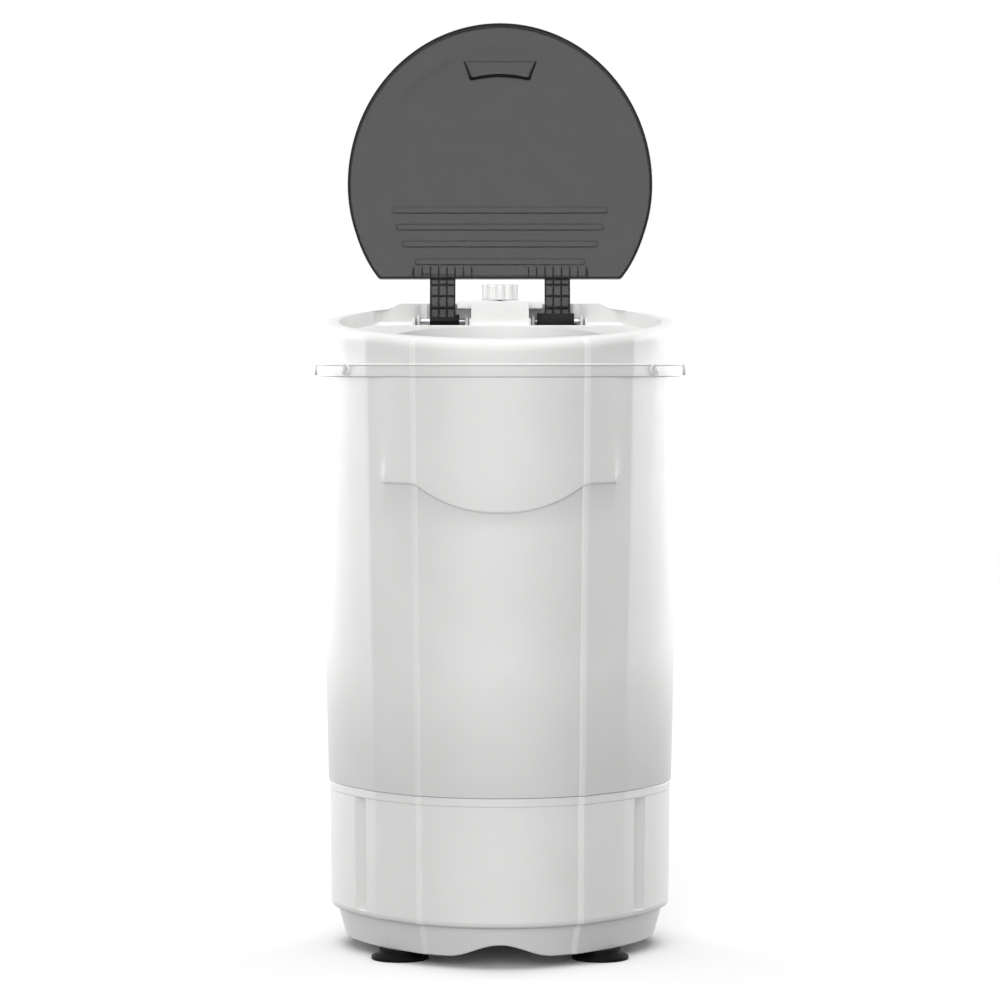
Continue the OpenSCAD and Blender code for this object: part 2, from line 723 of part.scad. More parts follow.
module cover_hollow() {
    w = 2 * shell_wall;
    difference() {
        union() {
            loft([ring(cover_w - w, cover_d - w, skirt_z - 1), ring(cover_w - w, cover_d - w, skirt_z + 16),
                ring(cover_w - w, cover_d - w, rim_z - rim_round_h - 1, slope),
                ring(cover_w - w - rim_round_w, cover_d - w - rim_round_w, rim_z - shell_wall - 1, slope)]);
            block(-console_half + shell_wall, console_half - shell_wall, chord_y + 8 + shell_wall,
                console_back - shell_wall, rim_z - 10, console_z - shell_wall);
        }
        deck_space(lid_gap + shell_wall, -shell_wall, 60);
        rear_space(shell_wall, ledge_z - shell_wall);
        hinge_pockets(shell_wall, console_z);
        translate([0, -mouth_front, mouth_low_z]) cylinder(r = mouth_r + shell_wall, h = 60, $fn = 96);
        at_tub_screws() translate([0, 0, tub_top]) cylinder(r = 6, h = 80);
    }
}

module top_cover() {
    color("white") difference() {
        union() {
            difference() {
                union() {
                    cover_outer();
                    hump_outer();
                    console_outer_above_skirt();
                }
                cover_hollow();
                deck_space(lid_gap, 0, 60);
                rear_space(0, ledge_z);
            }
            difference() {
                hinge_pocket_walls();
                deck_space(lid_gap, 0, 60);
            }
            at_bosses() translate([-3, 0, 0]) rotate([0, 90, 0]) cylinder(r = boss_r, h = 3 + boss_out);
        }
        hinge_pockets(0, hump_z + 20);
        translate([0, -mouth_front, mouth_low_z - 1]) cylinder(r = mouth_r, h = 90, $fn = 96);
        at_bosses() translate([-20, 0, 0]) rotate([0, 90, 0]) cylinder(r = 2 + fit, h = 30);
        at_tub_screws() translate([0, 0, tub_top - 1]) cylinder(r = 2 + fit, h = 11);
        translate([0, knob_y, rim_z]) cylinder(r = timer_shaft_r + 3, h = 40);
        translate([cam_x, hinge_y, pocket_floor_z - 10]) cylinder(r = plunger_r + 0.2, h = 20);
        translate([yoke_x, yoke_y, pocket_floor_z - 10]) cylinder(r = guide_r + fit, h = 20);
    }
}

module console_outer_above_skirt() {
    intersection() {
        console_outer();
        block(-body_w, body_w, chord_y - 10, body_d, skirt_z + 30, console_z + 1);
    }
}

// Low walls round the hinge pockets that stand over the ledge
module hinge_pocket_walls() {
    for (s = [-1, 1]) block(s * arm_x - pocket_half - 2, s * arm_x + pocket_half + 2,
        chord_y + 6, pocket_back + 1, ledge_z - 1, ledge_z + 4);
}

module cover_screws() {
    color("silver") at_bosses() translate([boss_out + fit, 0, 0]) rotate([0, 90, 0]) screw(2, 14);
}

// ---- Lid -----------------------------------------------------------------------------

// Frame of the open lid: x across, u up along the lid, w out of its outer face
module lid_frame() { translate([0, hinge_y, hinge_z]) rotate([-lid_lean, 0, 0]) children(); }

// Slab of a flat shape in the lid's plane, between depths w0 and w1
module lid_slab(w0, w1) { translate([0, w1, 0]) rotate([90, 0, 0]) linear_extrude(w1 - w0) children(); }

module grip_shape(g) {
    u = arm_reach + lid_back + lid_front - 42;
    polygon([[-grip_half - g, u + g], [-grip_half + 7 - g, u - grip_w - g],
        [grip_half - 7 + g, u - grip_w - g], [grip_half + g, u + g]]);
}

module lid_arm(s) {
    x0 = s * arm_x - arm_w / 2;
    inner_w = lid_top_w - lid_step - lid_t;
    rib = 1.4;
    difference() {
        translate([x0, 0, 0]) rotate([90, 0, 90]) linear_extrude(arm_w) {
            circle(r = hub_r);
            polygon([[-hub_r + 1, 0], [hub_r, 0], [hub_r, 18], [inner_w + eps, arm_reach - 6],
                [inner_w + eps, arm_reach + 15], [2, arm_reach + 15], [1, arm_reach - 6],
                [-hub_r + 1, 10]]);
        }
        for (c = [0 : 2], k = [0 : 3]) let (cell = (arm_w - 4 * rib) / 3)
            translate([x0 + rib + c * (cell + rib), -hub_r - 5, 12 + 12 * k])
                cube([cell, hub_r + 5 + [0, 4, 9, 9][k], 10.6]);
        rod_x(x0 - 1, x0 + arm_w + 1, 0, 0, pin_r + pin_gap);
    }
}

// Cam that lowers the switch's plunger evenly as the lid turns
module switch_cam() {
    inner = -arm_x + arm_w / 2 - 1;
    translate([inner, 0, 0]) rotate([90, 0, 90]) linear_extrude(cam_x + 2 - inner) difference() {
        union() {
            circle(r = hub_r);
            polygon(concat([[0, 0]], [for (i = [0 : 17]) let (t = close_angle * i / 17,
                h = cam_base + cam_rate * t * PI / 180, a = t - lid_lean)
                [-h * sin(a) - cam_rate * cos(a), -h * cos(a) + cam_rate * sin(a)]]));
        }
        circle(r = pin_r + pin_gap);
    }
}

module lid() {
    base_w = lid_top_w - lid_step;
    color([0.25, 0.25, 0.26, 0.75]) lid_frame() {
        difference() {
            union() {
                lid_slab(base_w - lid_t, base_w) polygon(lid_outline(0));
                lid_slab(1, base_w) difference() {
                    polygon(lid_outline(0));
                    polygon(lid_outline(-lid_t));
                }
                lid_slab(base_w - eps, lid_top_w) polygon(lid_outline(-lid_border));
                lid_slab(lid_top_w - grip_depth - lid_t, lid_top_w) grip_shape(lid_t);
                for (i = [0 : 3]) lid_slab(base_w - lid_t - 1, base_w)
                    translate([0, arm_reach + bar_u[i]]) hull()
                        for (s = [-1, 1]) translate([s * (bar_half[i] - bar_w / 2), 0])
                            circle(r = bar_w / 2);
                for (s = [-1, 1], i = [0 : 7]) lid_slab(3, base_w - lid_t + eps)
                    translate([s * (arm_x + (i - 3.5) * 8.7) - 0.6, arm_reach + 1]) square([1.2, 12]);
            }
            lid_slab(base_w - lid_t - 2 * eps, lid_top_w - lid_t) difference() {
                polygon(lid_outline(-lid_border - lid_t));
                grip_shape(lid_t);
                for (i = [0 : 3]) translate([0, arm_reach + bar_u[i]])
                    square([2 * bar_half[i], bar_w], center = true);
            }
            lid_slab(lid_top_w - grip_depth, lid_top_w + 1) grip_shape(0);
        }
        for (s = [-1, 1]) lid_arm(s);
        switch_cam();
    }
}

// Sleeve on both sides of the right arm's hub, joined in front of it, with the crank pin
module lid_actuator() {
    inner = arm_x - arm_w / 2;
    outer = arm_x + arm_w / 2;
    drum = hub_r + 1.3;
    color([0.05, 0.05, 0.05]) lid_frame() difference() {
        union() {
            rod_x(inner - 8, inner - fit, 0, 0, drum);
            rod_x(outer + fit, outer + 4, 0, 0, drum);
            block(inner - 8, outer + 4, -hub_r - 3.5, -hub_r - 2 * fit, -hub_r, hub_r);
            rotate([lid_lean, 0, 0])
                rod_x(outer + 3, yoke_x + 1.5, crank_r * cos(crank_start), -crank_low, crank_pin_r);
        }
        rod_x(inner - 9, outer + 9, 0, 0, pin_r + pin_gap);
    }
}

module hinge_pins() {
    color("silver") {
        rod_x(-arm_x - pocket_half + 1, -arm_x + pocket_half - 1, hinge_y, hinge_z, pin_r);
        rod_x(arm_x - pocket_half + 1, arm_x + pocket_half - 1, hinge_y, hinge_z, pin_r);
    }
}

module hinge_bracket(x0, x1) {
    difference() {
        union() {
            block(x0, x1, hinge_y - 12, pocket_back - 0.5, pocket_floor_z + eps, pocket_floor_z + 2);
            for (x = [x0, x1 - ear_t]) {
                block(x, x + ear_t, hinge_y - 7, hinge_y + 6, pocket_floor_z + 1, hinge_z);
                rod_x(x, x + ear_t, hinge_y, hinge_z, 6.5);
            }
        }
        rod_x(x0 - 1, x1 + 1, hinge_y, hinge_z, pin_r + fit / 2);
        for (x = [x0 + ear_t + 4, x1 - ear_t - 4]) translate([x, hinge_y - 9, pocket_floor_z - 1])
            cylinder(r = 1.6, h = 4);
        translate([cam_x, hinge_y, pocket_floor_z - 1]) cylinder(r = plunger_r + 1, h = 6);
        translate([yoke_x, yoke_y, pocket_floor_z - 1]) cylinder(r = guide_r + 1, h = 6);
    }
}

module hinge_bracket_left() {
    color([0.86, 0.86, 0.87]) hinge_bracket(-arm_x - pocket_half + 1.5, -arm_x + pocket_half - 1.5);
}

module hinge_bracket_right() {
    color([0.55, 0.55, 0.56]) hinge_bracket(arm_x - pocket_half + 1.5, arm_x + pocket_half - 1.5);
}

module bracket_screws() {
    color("silver") for (s = [-1, 1], e = [-1, 1])
        translate([s * arm_x + e * (pocket_half - 1.5 - ear_t - 4), hinge_y - 9, pocket_floor_z + 2.05])
            screw(1.5, 1.9);
}

// ---- Lid switch and brake cable ------------------------------------------------------

module lid_switch() {
    color([0.12, 0.12, 0.13]) difference() {
        block(cam_x - 12, cam_x + 5, hinge_y - 6, hinge_y + 5, pocket_floor_z - shell_wall - switch_h,
            pocket_floor_z - shell_wall - eps);
        translate([cam_x, hinge_y, pocket_floor_z - shell_wall - 14]) cylinder(r = plunger_r + 0.2, h = 20);
    }
}

module switch_plunger() {
    color([0.75, 0.15, 0.1]) translate([cam_x, hinge_y, pocket_floor_z - shell_wall - 10])
        cylinder(r = plunger_r, h = plunger_top - pocket_floor_z + shell_wall + 10);
}

module cable_yoke() {
    slot_z = hinge_z - crank_low;
    half_h = crank_pin_r + crank_r * 0.09 + seat;
    color([0.7, 0.7, 0.72]) {
        difference() {
            block(yoke_x - 1, yoke_x + 1, hinge_y + pin_r + 0.5, hinge_y + crank_r + 3,
                slot_z - half_h - 1.6, slot_z + half_h + 1.6);
            block(yoke_x - 2, yoke_x + 2, hinge_y, hinge_y + crank_r + 1.6,
                slot_z - half_h, slot_z + half_h);
        }
        translate([yoke_x, yoke_y, pocket_floor_z - shell_wall - 16])
            cylinder(r = stem_r, h = slot_z - half_h - 0.8 - pocket_floor_z + shell_wall + 16, $fn = 24);
    }
}

module yoke_guide() {
    color([0.1, 0.1, 0.1]) translate([yoke_x, yoke_y, guide_low_z]) difference() {
        union() {
            cylinder(r = guide_r, h = guide_len + shell_wall);
            translate([0, 0, guide_len - 3 - fit]) cylinder(r = guide_r + 1.5, h = 3);
        }
        translate([0, 0, 3]) cylinder(r = stem_r + 0.15, h = guide_len + 10, $fn = 24);
    }
}

module brake_cable() { color([0.08, 0.08, 0.08]) tube_along(sheath_route, sheath_r, 8); }

module cable_ferrule() {
    color("silver") difference() {
        union() {
            rod_y(fork_x, ferrule_y - 22, ferrule_y - eps, drum_mid_z, sheath_r + 0.5);
            rod_y(fork_x, ferrule_y - 7.9, ferrule_y - 5.9, drum_mid_z, sheath_r + 2);
        }
        rod_y(fork_x, ferrule_y - 23, ferrule_y - 2, drum_mid_z, wire_r + 0.2);
    }
}

module cable_wire() {
    color("silver") {
        rod_y(fork_x, lever_y - lever_w / 2 - 2, ferrule_y - 3 - cable_pull, drum_mid_z, wire_r);
        translate([fork_x, lever_y - lever_w / 2 - seat - nipple_r, drum_mid_z - drum_w / 2])
            cylinder(r = nipple_r, h = drum_w);
    }
}

// ---- Timer ---------------------------------------------------------------------------

module timer_knob() {
    lobes = 10;
    lobe_r = 4.2;
    color("white") translate([0, knob_y, console_z + knob_gap]) difference() {
        union() {
            cylinder(r = knob_r - lobe_r * 0.7, h = knob_h - 1);
            cylinder(r = knob_r - lobe_r * 0.7 - 1, h = knob_h);
            for (k = [0 : lobes - 1]) rotate([0, 0, 360 * (k + 0.5) / lobes])
                translate([knob_r - lobe_r, 0, 0]) cylinder(r = lobe_r, h = knob_h - 1.6, $fn = 24);
        }
        translate([0, 0, -1]) cylinder(r = timer_shaft_r + fit / 2, h = knob_h - 3);
        translate([0, 0, -1]) difference() {
            cylinder(r = knob_r - lobe_r - 3, h = knob_h - 5);
            cylinder(r = timer_shaft_r + 3.5, h = knob_h);
        }
    }
}

module timer_shaft() {
    color("silver") translate([0, knob_y, timer_top - timer_h + 6])
        cylinder(r = timer_shaft_r, h = knob_gap + shell_wall + timer_h - 6 + knob_h - 5);
}

module timer_body() {
    color([0.8, 0.8, 0.76]) difference() {
        union() {
            block(-20, 20, knob_y - 17, knob_y + 17, timer_top - timer_h, timer_top - 2);
            translate([0, knob_y, timer_top - 3]) cylinder(r = 12, h = 3);
            translate([0, knob_y, timer_top - 3])
                cylinder(r = timer_shaft_r + 2.8, h = 3 + shell_wall + 0.9);
        }
        translate([0, knob_y, timer_top - timer_h + 4]) cylinder(r = timer_shaft_r + fit, h = timer_h + 10);
    }
}

module timer_nut() {
    color("silver") translate([0, knob_y, console_z + eps]) difference() {
        cylinder(r = timer_shaft_r + 5.5, h = 0.9, $fn = 6);
        translate([0, 0, -1]) cylinder(r = timer_shaft_r + 2.8 + fit, h = 4);
    }
}

// ---- Tub, seal and drain -------------------------------------------------------------

module at_tub_screws() {
    for (a = [45 : 90 : 315]) rotate([0, 0, a]) translate([tub_r - 8, 0, 0]) children();
}

module collector_tub() {
    color([0.9, 0.92, 0.93]) difference() {
        union() {
            translate([0, 0, tub_z]) cylinder(r = tub_r, h = tub_top - tub_z, $fn = 128);
            translate([0, hose_y, tub_z - nozzle_len]) cylinder(r = spigot_r, h = nozzle_len + 1);
            block(fork_x - 6, fork_x + 6, ferrule_y - 20, ferrule_y - 8, drum_mid_z - 7, tub_z + 1);
        }
        difference() {
            translate([0, 0, tub_floor_top]) cylinder(r = tub_r - tub_wall, h = tub_top, $fn = 128);
            translate([0, 0, tub_floor_top - 1]) cylinder(r = seal_r + 6, h = seal_h - 2);
            at_tub_screws() translate([0, 0, tub_top - tub_boss_h]) {
                cylinder(r = tub_boss_r, h = tub_boss_h);
                translate([0, -4, 0]) cube([7, 8, tub_boss_h]);
            }
        }
        translate([0, 0, tub_z - 1]) cylinder(r = seal_r, h = 20);
        translate([0, hose_y, tub_z - nozzle_len - 1]) cylinder(r = spigot_r - 2, h = nozzle_len + 10);
        rod_y(fork_x, ferrule_y - 21, ferrule_y - 7, drum_mid_z, sheath_r + 0.5 + fit);
        at_tub_screws() translate([0, 0, tub_top - tub_boss_h - 1]) cylinder(r = 2 + fit, h = 30);
    }
}

module tub_screws() {
    color("silver") at_tub_screws() {
        translate([0, 0, tub_top - tub_boss_h - 2]) cylinder(r = 3.6, h = 2 - eps);
        translate([0, 0, tub_top - tub_boss_h - 1]) cylinder(r = 2, h = tub_boss_h + 10);
    }
}

// Rubber bellows on the tub's centre hole, with a lip round the shaft
module tub_seal() {
    lip = shaft_r + 0.1;
    inner = seal_r - 0.2;
    fold = (seal_r - 3 - lip - 4) / 5;
    color([0.12, 0.12, 0.12]) translate([0, 0, tub_z]) rotate_extrude() polygon([
        [inner, -2], [seal_r + 4, -2], [seal_r + 4, -fit], [inner, -fit], [inner, seal_h + fit],
        [seal_r + 4, seal_h + fit], [seal_r + 4, seal_h + 2], [seal_r - 3, seal_h + 2], [seal_r - 3, 4],
        [lip + 4 + 4 * fold, 8], [lip + 4 + 3 * fold, 3], [lip + 4 + 2 * fold, 8], [lip + 4 + fold, 3],
        [lip + 4, 6], [lip + 4, seal_h + 1], [lip, seal_h + 1], [lip, 2], [lip + 4, 0],
        [lip + 4 + fold, -1], [lip + 4 + 2 * fold, 4], [lip + 4 + 3 * fold, -1], [lip + 4 + 4 * fold, 4],
        [seal_r - 3, 0]]);
}

module hose_elbow(r) {
    translate([0, hose_y + hose_bend, spigot_z + hose_bend]) rotate([0, 90, 0]) rotate([0, 0, 180])
        rotate_extrude(angle = 90) translate([hose_bend, 0]) circle(r = r);
}

module drain_hose() {
    color([0.3, 0.3, 0.32]) difference() {
        union() {
            hose_elbow(hose_r);
            translate([0, hose_y, spigot_z + hose_bend])
                cylinder(r = hose_r, h = hose_top - spigot_z - hose_bend);
            rod_y(0, hose_y + hose_bend, hose_end, spigot_z, hose_r);
        }
        hose_elbow(hose_r - hose_wall);
        translate([0, hose_y, spigot_z + hose_bend - eps]) cylinder(r = hose_r - hose_wall, h = hose_top);
        rod_y(0, hose_y + hose_bend - eps, hose_end + 1, spigot_z, hose_r - hose_wall);
    }
}

module hose_clamps() {
    clamp_w = 0.7 * spigot_r;
    color("silver") {
        translate([0, hose_y, hose_top - clamp_w - 5]) difference() {
            cylinder(r = hose_r + 1, h = clamp_w);
            translate([0, 0, -1]) cylinder(r = hose_r + eps, h = clamp_w + 2);
        }
        difference() {
            rod_y(0, hose_end - clamp_w - 2, hose_end - 2, spigot_z, hose_r + 1);
            rod_y(0, hose_end - clamp_w - 3, hose_end, spigot_z, hose_r + eps);
        }
    }
}

module drain_spigot() {
    color([0.9, 0.9, 0.9]) difference() {
        union() {
            rod_y(0, hose_end - 12, spigot_tip, spigot_z, spigot_r);
            rod_y(0, well_y + eps, well_y + spigot_flange, spigot_z, spigot_r + spigot_flange);
        }
        rod_y(0, hose_end - 20, spigot_tip + 1, spigot_z, spigot_r - 2);
    }
}

// Ring that holds the spigot from behind the well
module spigot_ring() {
    color([0.9, 0.9, 0.9]) difference() {
        rod_y(0, hose_end + eps, well_y - shell_wall - eps, spigot_z, spigot_r + 6);
        rod_y(0, hose_end - 1, well_y, spigot_z, spigot_r + fit);
    }
}

// ---- Basket --------------------------------------------------------------------------

module spin_basket() {
    pitch = (basket_h - 60) / (drain_rows - 1);
    color([0.8, 0.81, 0.82]) difference() {
        union() {
            difference() {
                translate([0, 0, basket_z]) cylinder(r = basket_r, h = basket_h, $fn = 96);
                translate([0, 0, basket_z + basket_t])
                    cylinder(r = basket_r - basket_t, h = basket_h, $fn = 96);
            }
            translate([0, 0, basket_top - 8]) rotate_extrude($fn = 96) polygon([
                [basket_r - 0.5, 0], [basket_r - 0.5, 8], [basket_mouth_r + 2, 8], [basket_mouth_r, 5],
                [basket_mouth_r, 2], [basket_mouth_r + 1.2, 2], [basket_mouth_r + 2.6, 6.8],
                [basket_r - 1.7, 6.8], [basket_r - 1.7, 0]]);
        }
        for (k = [0 : drain_holes - 1], r = [0 : drain_rows - 1])
            rotate([0, 0, 360 / drain_holes * (k + 0.5 * (r % 2))])
                rod_x(basket_r - 4, basket_r + 1, 0, basket_z + 24 + r * pitch, drain_hole_r);
        translate([0, 0, basket_z - 1]) cylinder(r = shaft_r - 2 + fit, h = 4);
    }
}

module basket_hub() {
    color([0.7, 0.71, 0.72]) translate([0, 0, basket_z - hub_h]) difference() {
        rotate_extrude() polygon([[0, 0], [hub_neck_r - 2, 0], [hub_neck_r, 0.4 * hub_h],
            [hub_flange_r, hub_h - 4], [hub_flange_r, hub_h - eps], [0, hub_h - eps]]);
        translate([0, 0, -1]) cylinder(r = shaft_r + fit / 2, h = hub_h - 3);
        translate([0, 0, -1]) cylinder(r = shaft_r - 2 + fit, h = hub_h + 3);
    }
}

module hub_nut() {
    color("silver") translate([0, 0, basket_z + basket_t + eps]) difference() {
        union() {
            cylinder(r = hub_neck_r, h = 2);
            cylinder(r = hub_neck_r / 2, h = hub_h / 2, $fn = 6);
        }
        translate([0, 0, -1]) cylinder(r = shaft_r - 2 + fit / 2, h = hub_h);
    }
}

module hub_cap() {
    r = hub_cap_r;
    h = 0.925 * hub_h;
    color([0.85, 0.85, 0.86]) translate([0, 0, basket_z + basket_t + eps]) rotate_extrude() polygon([
        [r - 10, 0], [r, 0], [r - 3, 0.43 * h], [r - 14, 0.81 * h], [r - 26, 0.97 * h], [0, h],
        [0, h - 2], [r - 26, h - 2.5], [r - 15, 0.7 * h], [r - 6, 0.38 * h]]);
}

module drive_shaft() {
    color([0.6, 0.6, 0.62]) {
        translate([0, 0, motor_z + 5]) cylinder(r = shaft_r, h = basket_z - 4 - motor_z - 5);
        translate([0, 0, motor_z + 6])
            cylinder(r = shaft_r - 2, h = basket_z + basket_t + hub_h / 2 - motor_z - 5);
    }
}

module brake_drum() {
    color([0.45, 0.45, 0.47]) difference() {
        translate([0, 0, drum_z]) cylinder(r = drum_r, h = drum_w);
        translate([0, 0, drum_z + 3]) difference() {
            cylinder(r = drum_r - 4, h = drum_w);
            cylinder(r = shaft_r + 5, h = drum_w);
        }
        translate([0, 0, drum_z - 1]) cylinder(r = shaft_r + fit / 2, h = drum_w + 2);
    }
}

// ---- Motor ---------------------------------------------------------------------------

module rotor() {
    color([0.5, 0.5, 0.52]) translate([0, 0, stator_z + 1]) difference() {
        cylinder(r = stator_r - 0.6, h = stator_h - 2);
        translate([0, 0, -1]) cylinder(r = shaft_r + fit / 2, h = stator_h);
    }
}

module stator() {
    color([0.35, 0.35, 0.38]) translate([0, 0, stator_z]) difference() {
        cylinder(r = motor_r - shell_wall - fit, h = stator_h);
        translate([0, 0, -1]) cylinder(r = stator_r, h = stator_h + 2);
    }
}

module windings() {
    color([0.72, 0.4, 0.2]) for (z = [stator_z - 10, stator_z + stator_h + eps]) translate([0, 0, z])
        rotate_extrude() translate([stator_r, 0]) polygon([[3, 2], [3, 8], [6, 10 - eps], [16, 10 - eps],
            [18, 7], [18, 2], [16, 0], [6, 0]]);
}

module bearing(z) {
    translate([0, 0, z]) difference() {
        cylinder(r = bearing_r, h = bearing_h);
        translate([0, 0, -1]) cylinder(r = shaft_r + 0.05, h = bearing_h + 2);
    }
}

module lower_bearing() { color([0.6, 0.62, 0.65]) bearing(lower_bearing_z); }
module upper_bearing() { color([0.6, 0.62, 0.65]) bearing(upper_bearing_z); }

// Cup with a seat for a bearing in its closed end, closed end at z = 0, open end up
module motor_cup(h, shaft_hole) {
    difference() {
        union() {
            difference() {
                cylinder(r = motor_r, h = h);
                translate([0, 0, 3]) cylinder(r = motor_r - shell_wall, h = h);
            }
            cylinder(r = bearing_r + 4, h = 3 + bearing_h);
            translate([0, 0, h - 3]) difference() {
                cylinder(r = motor_r + 5, h = 3);
                translate([0, 0, -1]) cylinder(r = motor_r - 1, h = 5);
            }
        }
        translate([0, 0, 3]) cylinder(r = bearing_r + 0.05, h = bearing_h + 1);
        if (shaft_hole) translate([0, 0, -1]) cylinder(r = shaft_r + 1, h = 6);
    }
}

module motor_lower_shell() {
    color([0.55, 0.56, 0.58]) {
        translate([0, 0, motor_z + eps]) motor_cup(motor_h / 2 - 2 * eps, false);
        for (a = [30 : 120 : 270]) rotate([0, 0, a]) difference() {
            block(motor_r - 1.5, bolt_ring_r + 7, -8, 8, motor_z + eps, motor_z + 4);
            translate([bolt_ring_r, 0, motor_z - 1]) cylinder(r = bolt_r + fit, h = 8);
        }
    }
}

module motor_upper_shell() {
    color([0.55, 0.56, 0.58]) difference() {
        union() {
            translate([0, 0, motor_top]) mirror([0, 0, 1]) motor_cup(motor_h / 2 - eps, true);
            difference() {
                translate([lever_pivot_x, lever_y, motor_top - 8]) cylinder(r = 9, h = 8);
                translate([0, 0, motor_top - 9]) cylinder(r = motor_r - shell_wall, h = 6);
            }
        }
        translate([lever_pivot_x, lever_y, motor_top - 9]) cylinder(r = 3 + fit / 2, h = 10);
    }
}

module at_springs() {
    for (a = [90, 210, 330]) rotate([0, 0, a]) translate([spring_ring_r, 0, 0]) children();
}

module motor_plate() {
    color([0.3, 0.3, 0.32]) difference() {
        translate([0, 0, plate_z]) cylinder(r = plate_r, h = plate_t);
        for (a = [30 : 120 : 270]) rotate([0, 0, a]) translate([bolt_ring_r, 0, plate_z - 1])
            cylinder(r = bolt_r + fit, h = plate_t + 2);
        for (a = [30 : 120 : 270]) rotate([0, 0, a + 60]) translate([48, 0, plate_z - 1])
            cylinder(r = 10, h = plate_t + 2);
        at_springs() translate([0, 0, plate_z - 1]) cylinder(r = 5.1, h = plate_t + 2);
    }
}

module motor_bolts() {
    color("silver") for (a = [30 : 120 : 270]) rotate([0, 0, a]) translate([bolt_ring_r, 0, 0]) {
        translate([0, 0, plate_z - bolt_head - 1]) cylinder(r = bolt_r, h = plate_t + 3 * bolt_head);
        translate([0, 0, motor_z + 4 + 2 * eps]) cylinder(r = bolt_r + 2.5, h = bolt_head, $fn = 6);
        translate([0, 0, plate_z - bolt_head]) cylinder(r = bolt_r + 2.5, h = bolt_head - eps, $fn = 6);
    }
}

module motor_springs() {
    per_turn = 12;
    z0 = floor_top + seat + coil_wire_r;
    z1 = plate_z - bush_flange - seat - coil_wire_r;
    steps = coil_turns * per_turn;
    color("silver") at_springs() tube_along([for (i = [0 : steps]) let (a = 360 * i / per_turn)
        [coil_r * cos(a), coil_r * sin(a), z0 + (z1 - z0) * i / steps]], coil_wire_r, 6);
}

module spring_bushes() {
    color([0.1, 0.1, 0.1]) at_springs() {
        translate([0, 0, plate_z - bush_flange])
            cylinder(r = coil_r + coil_wire_r + 1, h = bush_flange - eps);
        translate([0, 0, plate_z - bush_flange - 8])
            cylinder(r = coil_r - coil_wire_r - 1, h = 8 + eps);
        translate([0, 0, plate_z - bush_flange]) cylinder(r = 5, h = bush_flange + plate_t + 1);
        translate([0, 0, plate_z + plate_t + eps]) cylinder(r = 8, h = 3);
    }
}

// ---- Brake lever ---------------------------------------------------------------------

module brake_lever() {
    color([0.62, 0.63, 0.65]) difference() {
        union() {
            translate([lever_pivot_x, lever_y, drum_mid_z - lever_h / 2]) cylinder(r = 8, h = lever_h);
            block(lever_pivot_x, fork_x + 2, lever_y - lever_w / 2, lever_y + lever_w / 2,
                drum_mid_z - lever_h / 2, drum_mid_z + lever_h / 2);
            block(fork_x - 7, fork_x + 7, lever_y - lever_w / 2, lever_y + lever_w / 2,
                drum_mid_z - 7, drum_mid_z + 7);
        }
        translate([lever_pivot_x, lever_y, drum_mid_z - 10]) cylinder(r = 3.06, h = 20);
        block(fork_x - 3, fork_x + 10, lever_y - 10, lever_y + 10, drum_mid_z - 4.6, drum_mid_z + 4.6);
    }
}

module brake_pad() {
    color([0.25, 0.18, 0.14]) difference() {
        block(-pad_half, pad_half, drum_r - 4, lever_y - lever_w / 2 - eps, drum_mid_z - 4, drum_mid_z + 4);
        translate([0, 0, drum_mid_z - 5]) cylinder(r = drum_r + pad_gap, h = 10);
    }
}

module lever_pin() {
    color("silver") translate([lever_pivot_x, lever_y, motor_top - 8]) {
        cylinder(r = 3, h = drum_mid_z + lever_h / 2 + 1 - motor_top + 8);
        translate([0, 0, 8 + eps]) difference() {
            cylinder(r = 6, h = drum_mid_z - lever_h / 2 - seat - motor_top);
            translate([0, 0, -1]) cylinder(r = 2.9, h = 1);
        }
        translate([0, 0, drum_mid_z + lever_h / 2 + seat - motor_top + 8]) cylinder(r = 5, h = 1.6);
    }
}

// ---- Electrics -----------------------------------------------------------------------

module start_capacitor() {
    color([0.85, 0.85, 0.83]) {
        rod_y(cap_x, cap_y, cap_y + cap_len, floor_top + cap_r + 0.2, cap_r);
        rod_y(cap_x, cap_y - 3, cap_y + 1, floor_top + cap_r + 0.2, cap_r - 4);
    }
}

module capacitor_strap() {
    y0 = cap_y + 24;
    zc = floor_top + cap_r + 0.2;
    color([0.4, 0.4, 0.42]) difference() {
        union() {
            rod_y(cap_x, y0, y0 + 16, zc, cap_r + 1.4);
            block(cap_x - cap_r - 10, cap_x + cap_r + 10, y0, y0 + 16, floor_top + eps, floor_top + 2);
        }
        rod_y(cap_x, y0 - 1, y0 + 17, zc, cap_r + fit);
        block(cap_x - 40, cap_x + 40, y0 - 1, y0 + 17, 0, floor_top + eps);
    }
}

module terminal_block() {
    color([0.9, 0.88, 0.8]) difference() {
        block(block_x - 15, block_x + 15, block_y - 8, block_y + 8, floor_top + eps, floor_top + 16);
        for (k = [-1 : 1]) translate([block_x + 9 * k, block_y, floor_top + 6]) cylinder(r = 2.5, h = 12);
    }
}

module cord_gland() {
    color([0.1, 0.1, 0.1]) difference() {
        union() {
            rod_y(gland_x, gland_y - shell_wall - 7, gland_y + 3, gland_z, gland_r);
            rod_y(gland_x, gland_y + eps, gland_y + 3, gland_z, gland_r + 3);
            rod_y(gland_x, gland_y - shell_wall - 4, gland_y - shell_wall - eps, gland_z, gland_r + 3);
        }
        rod_y(gland_x, gland_y - 30, gland_y + 10, gland_z, 3.8);
    }
}

// ---- Drawing -------------------------------------------------------------------------

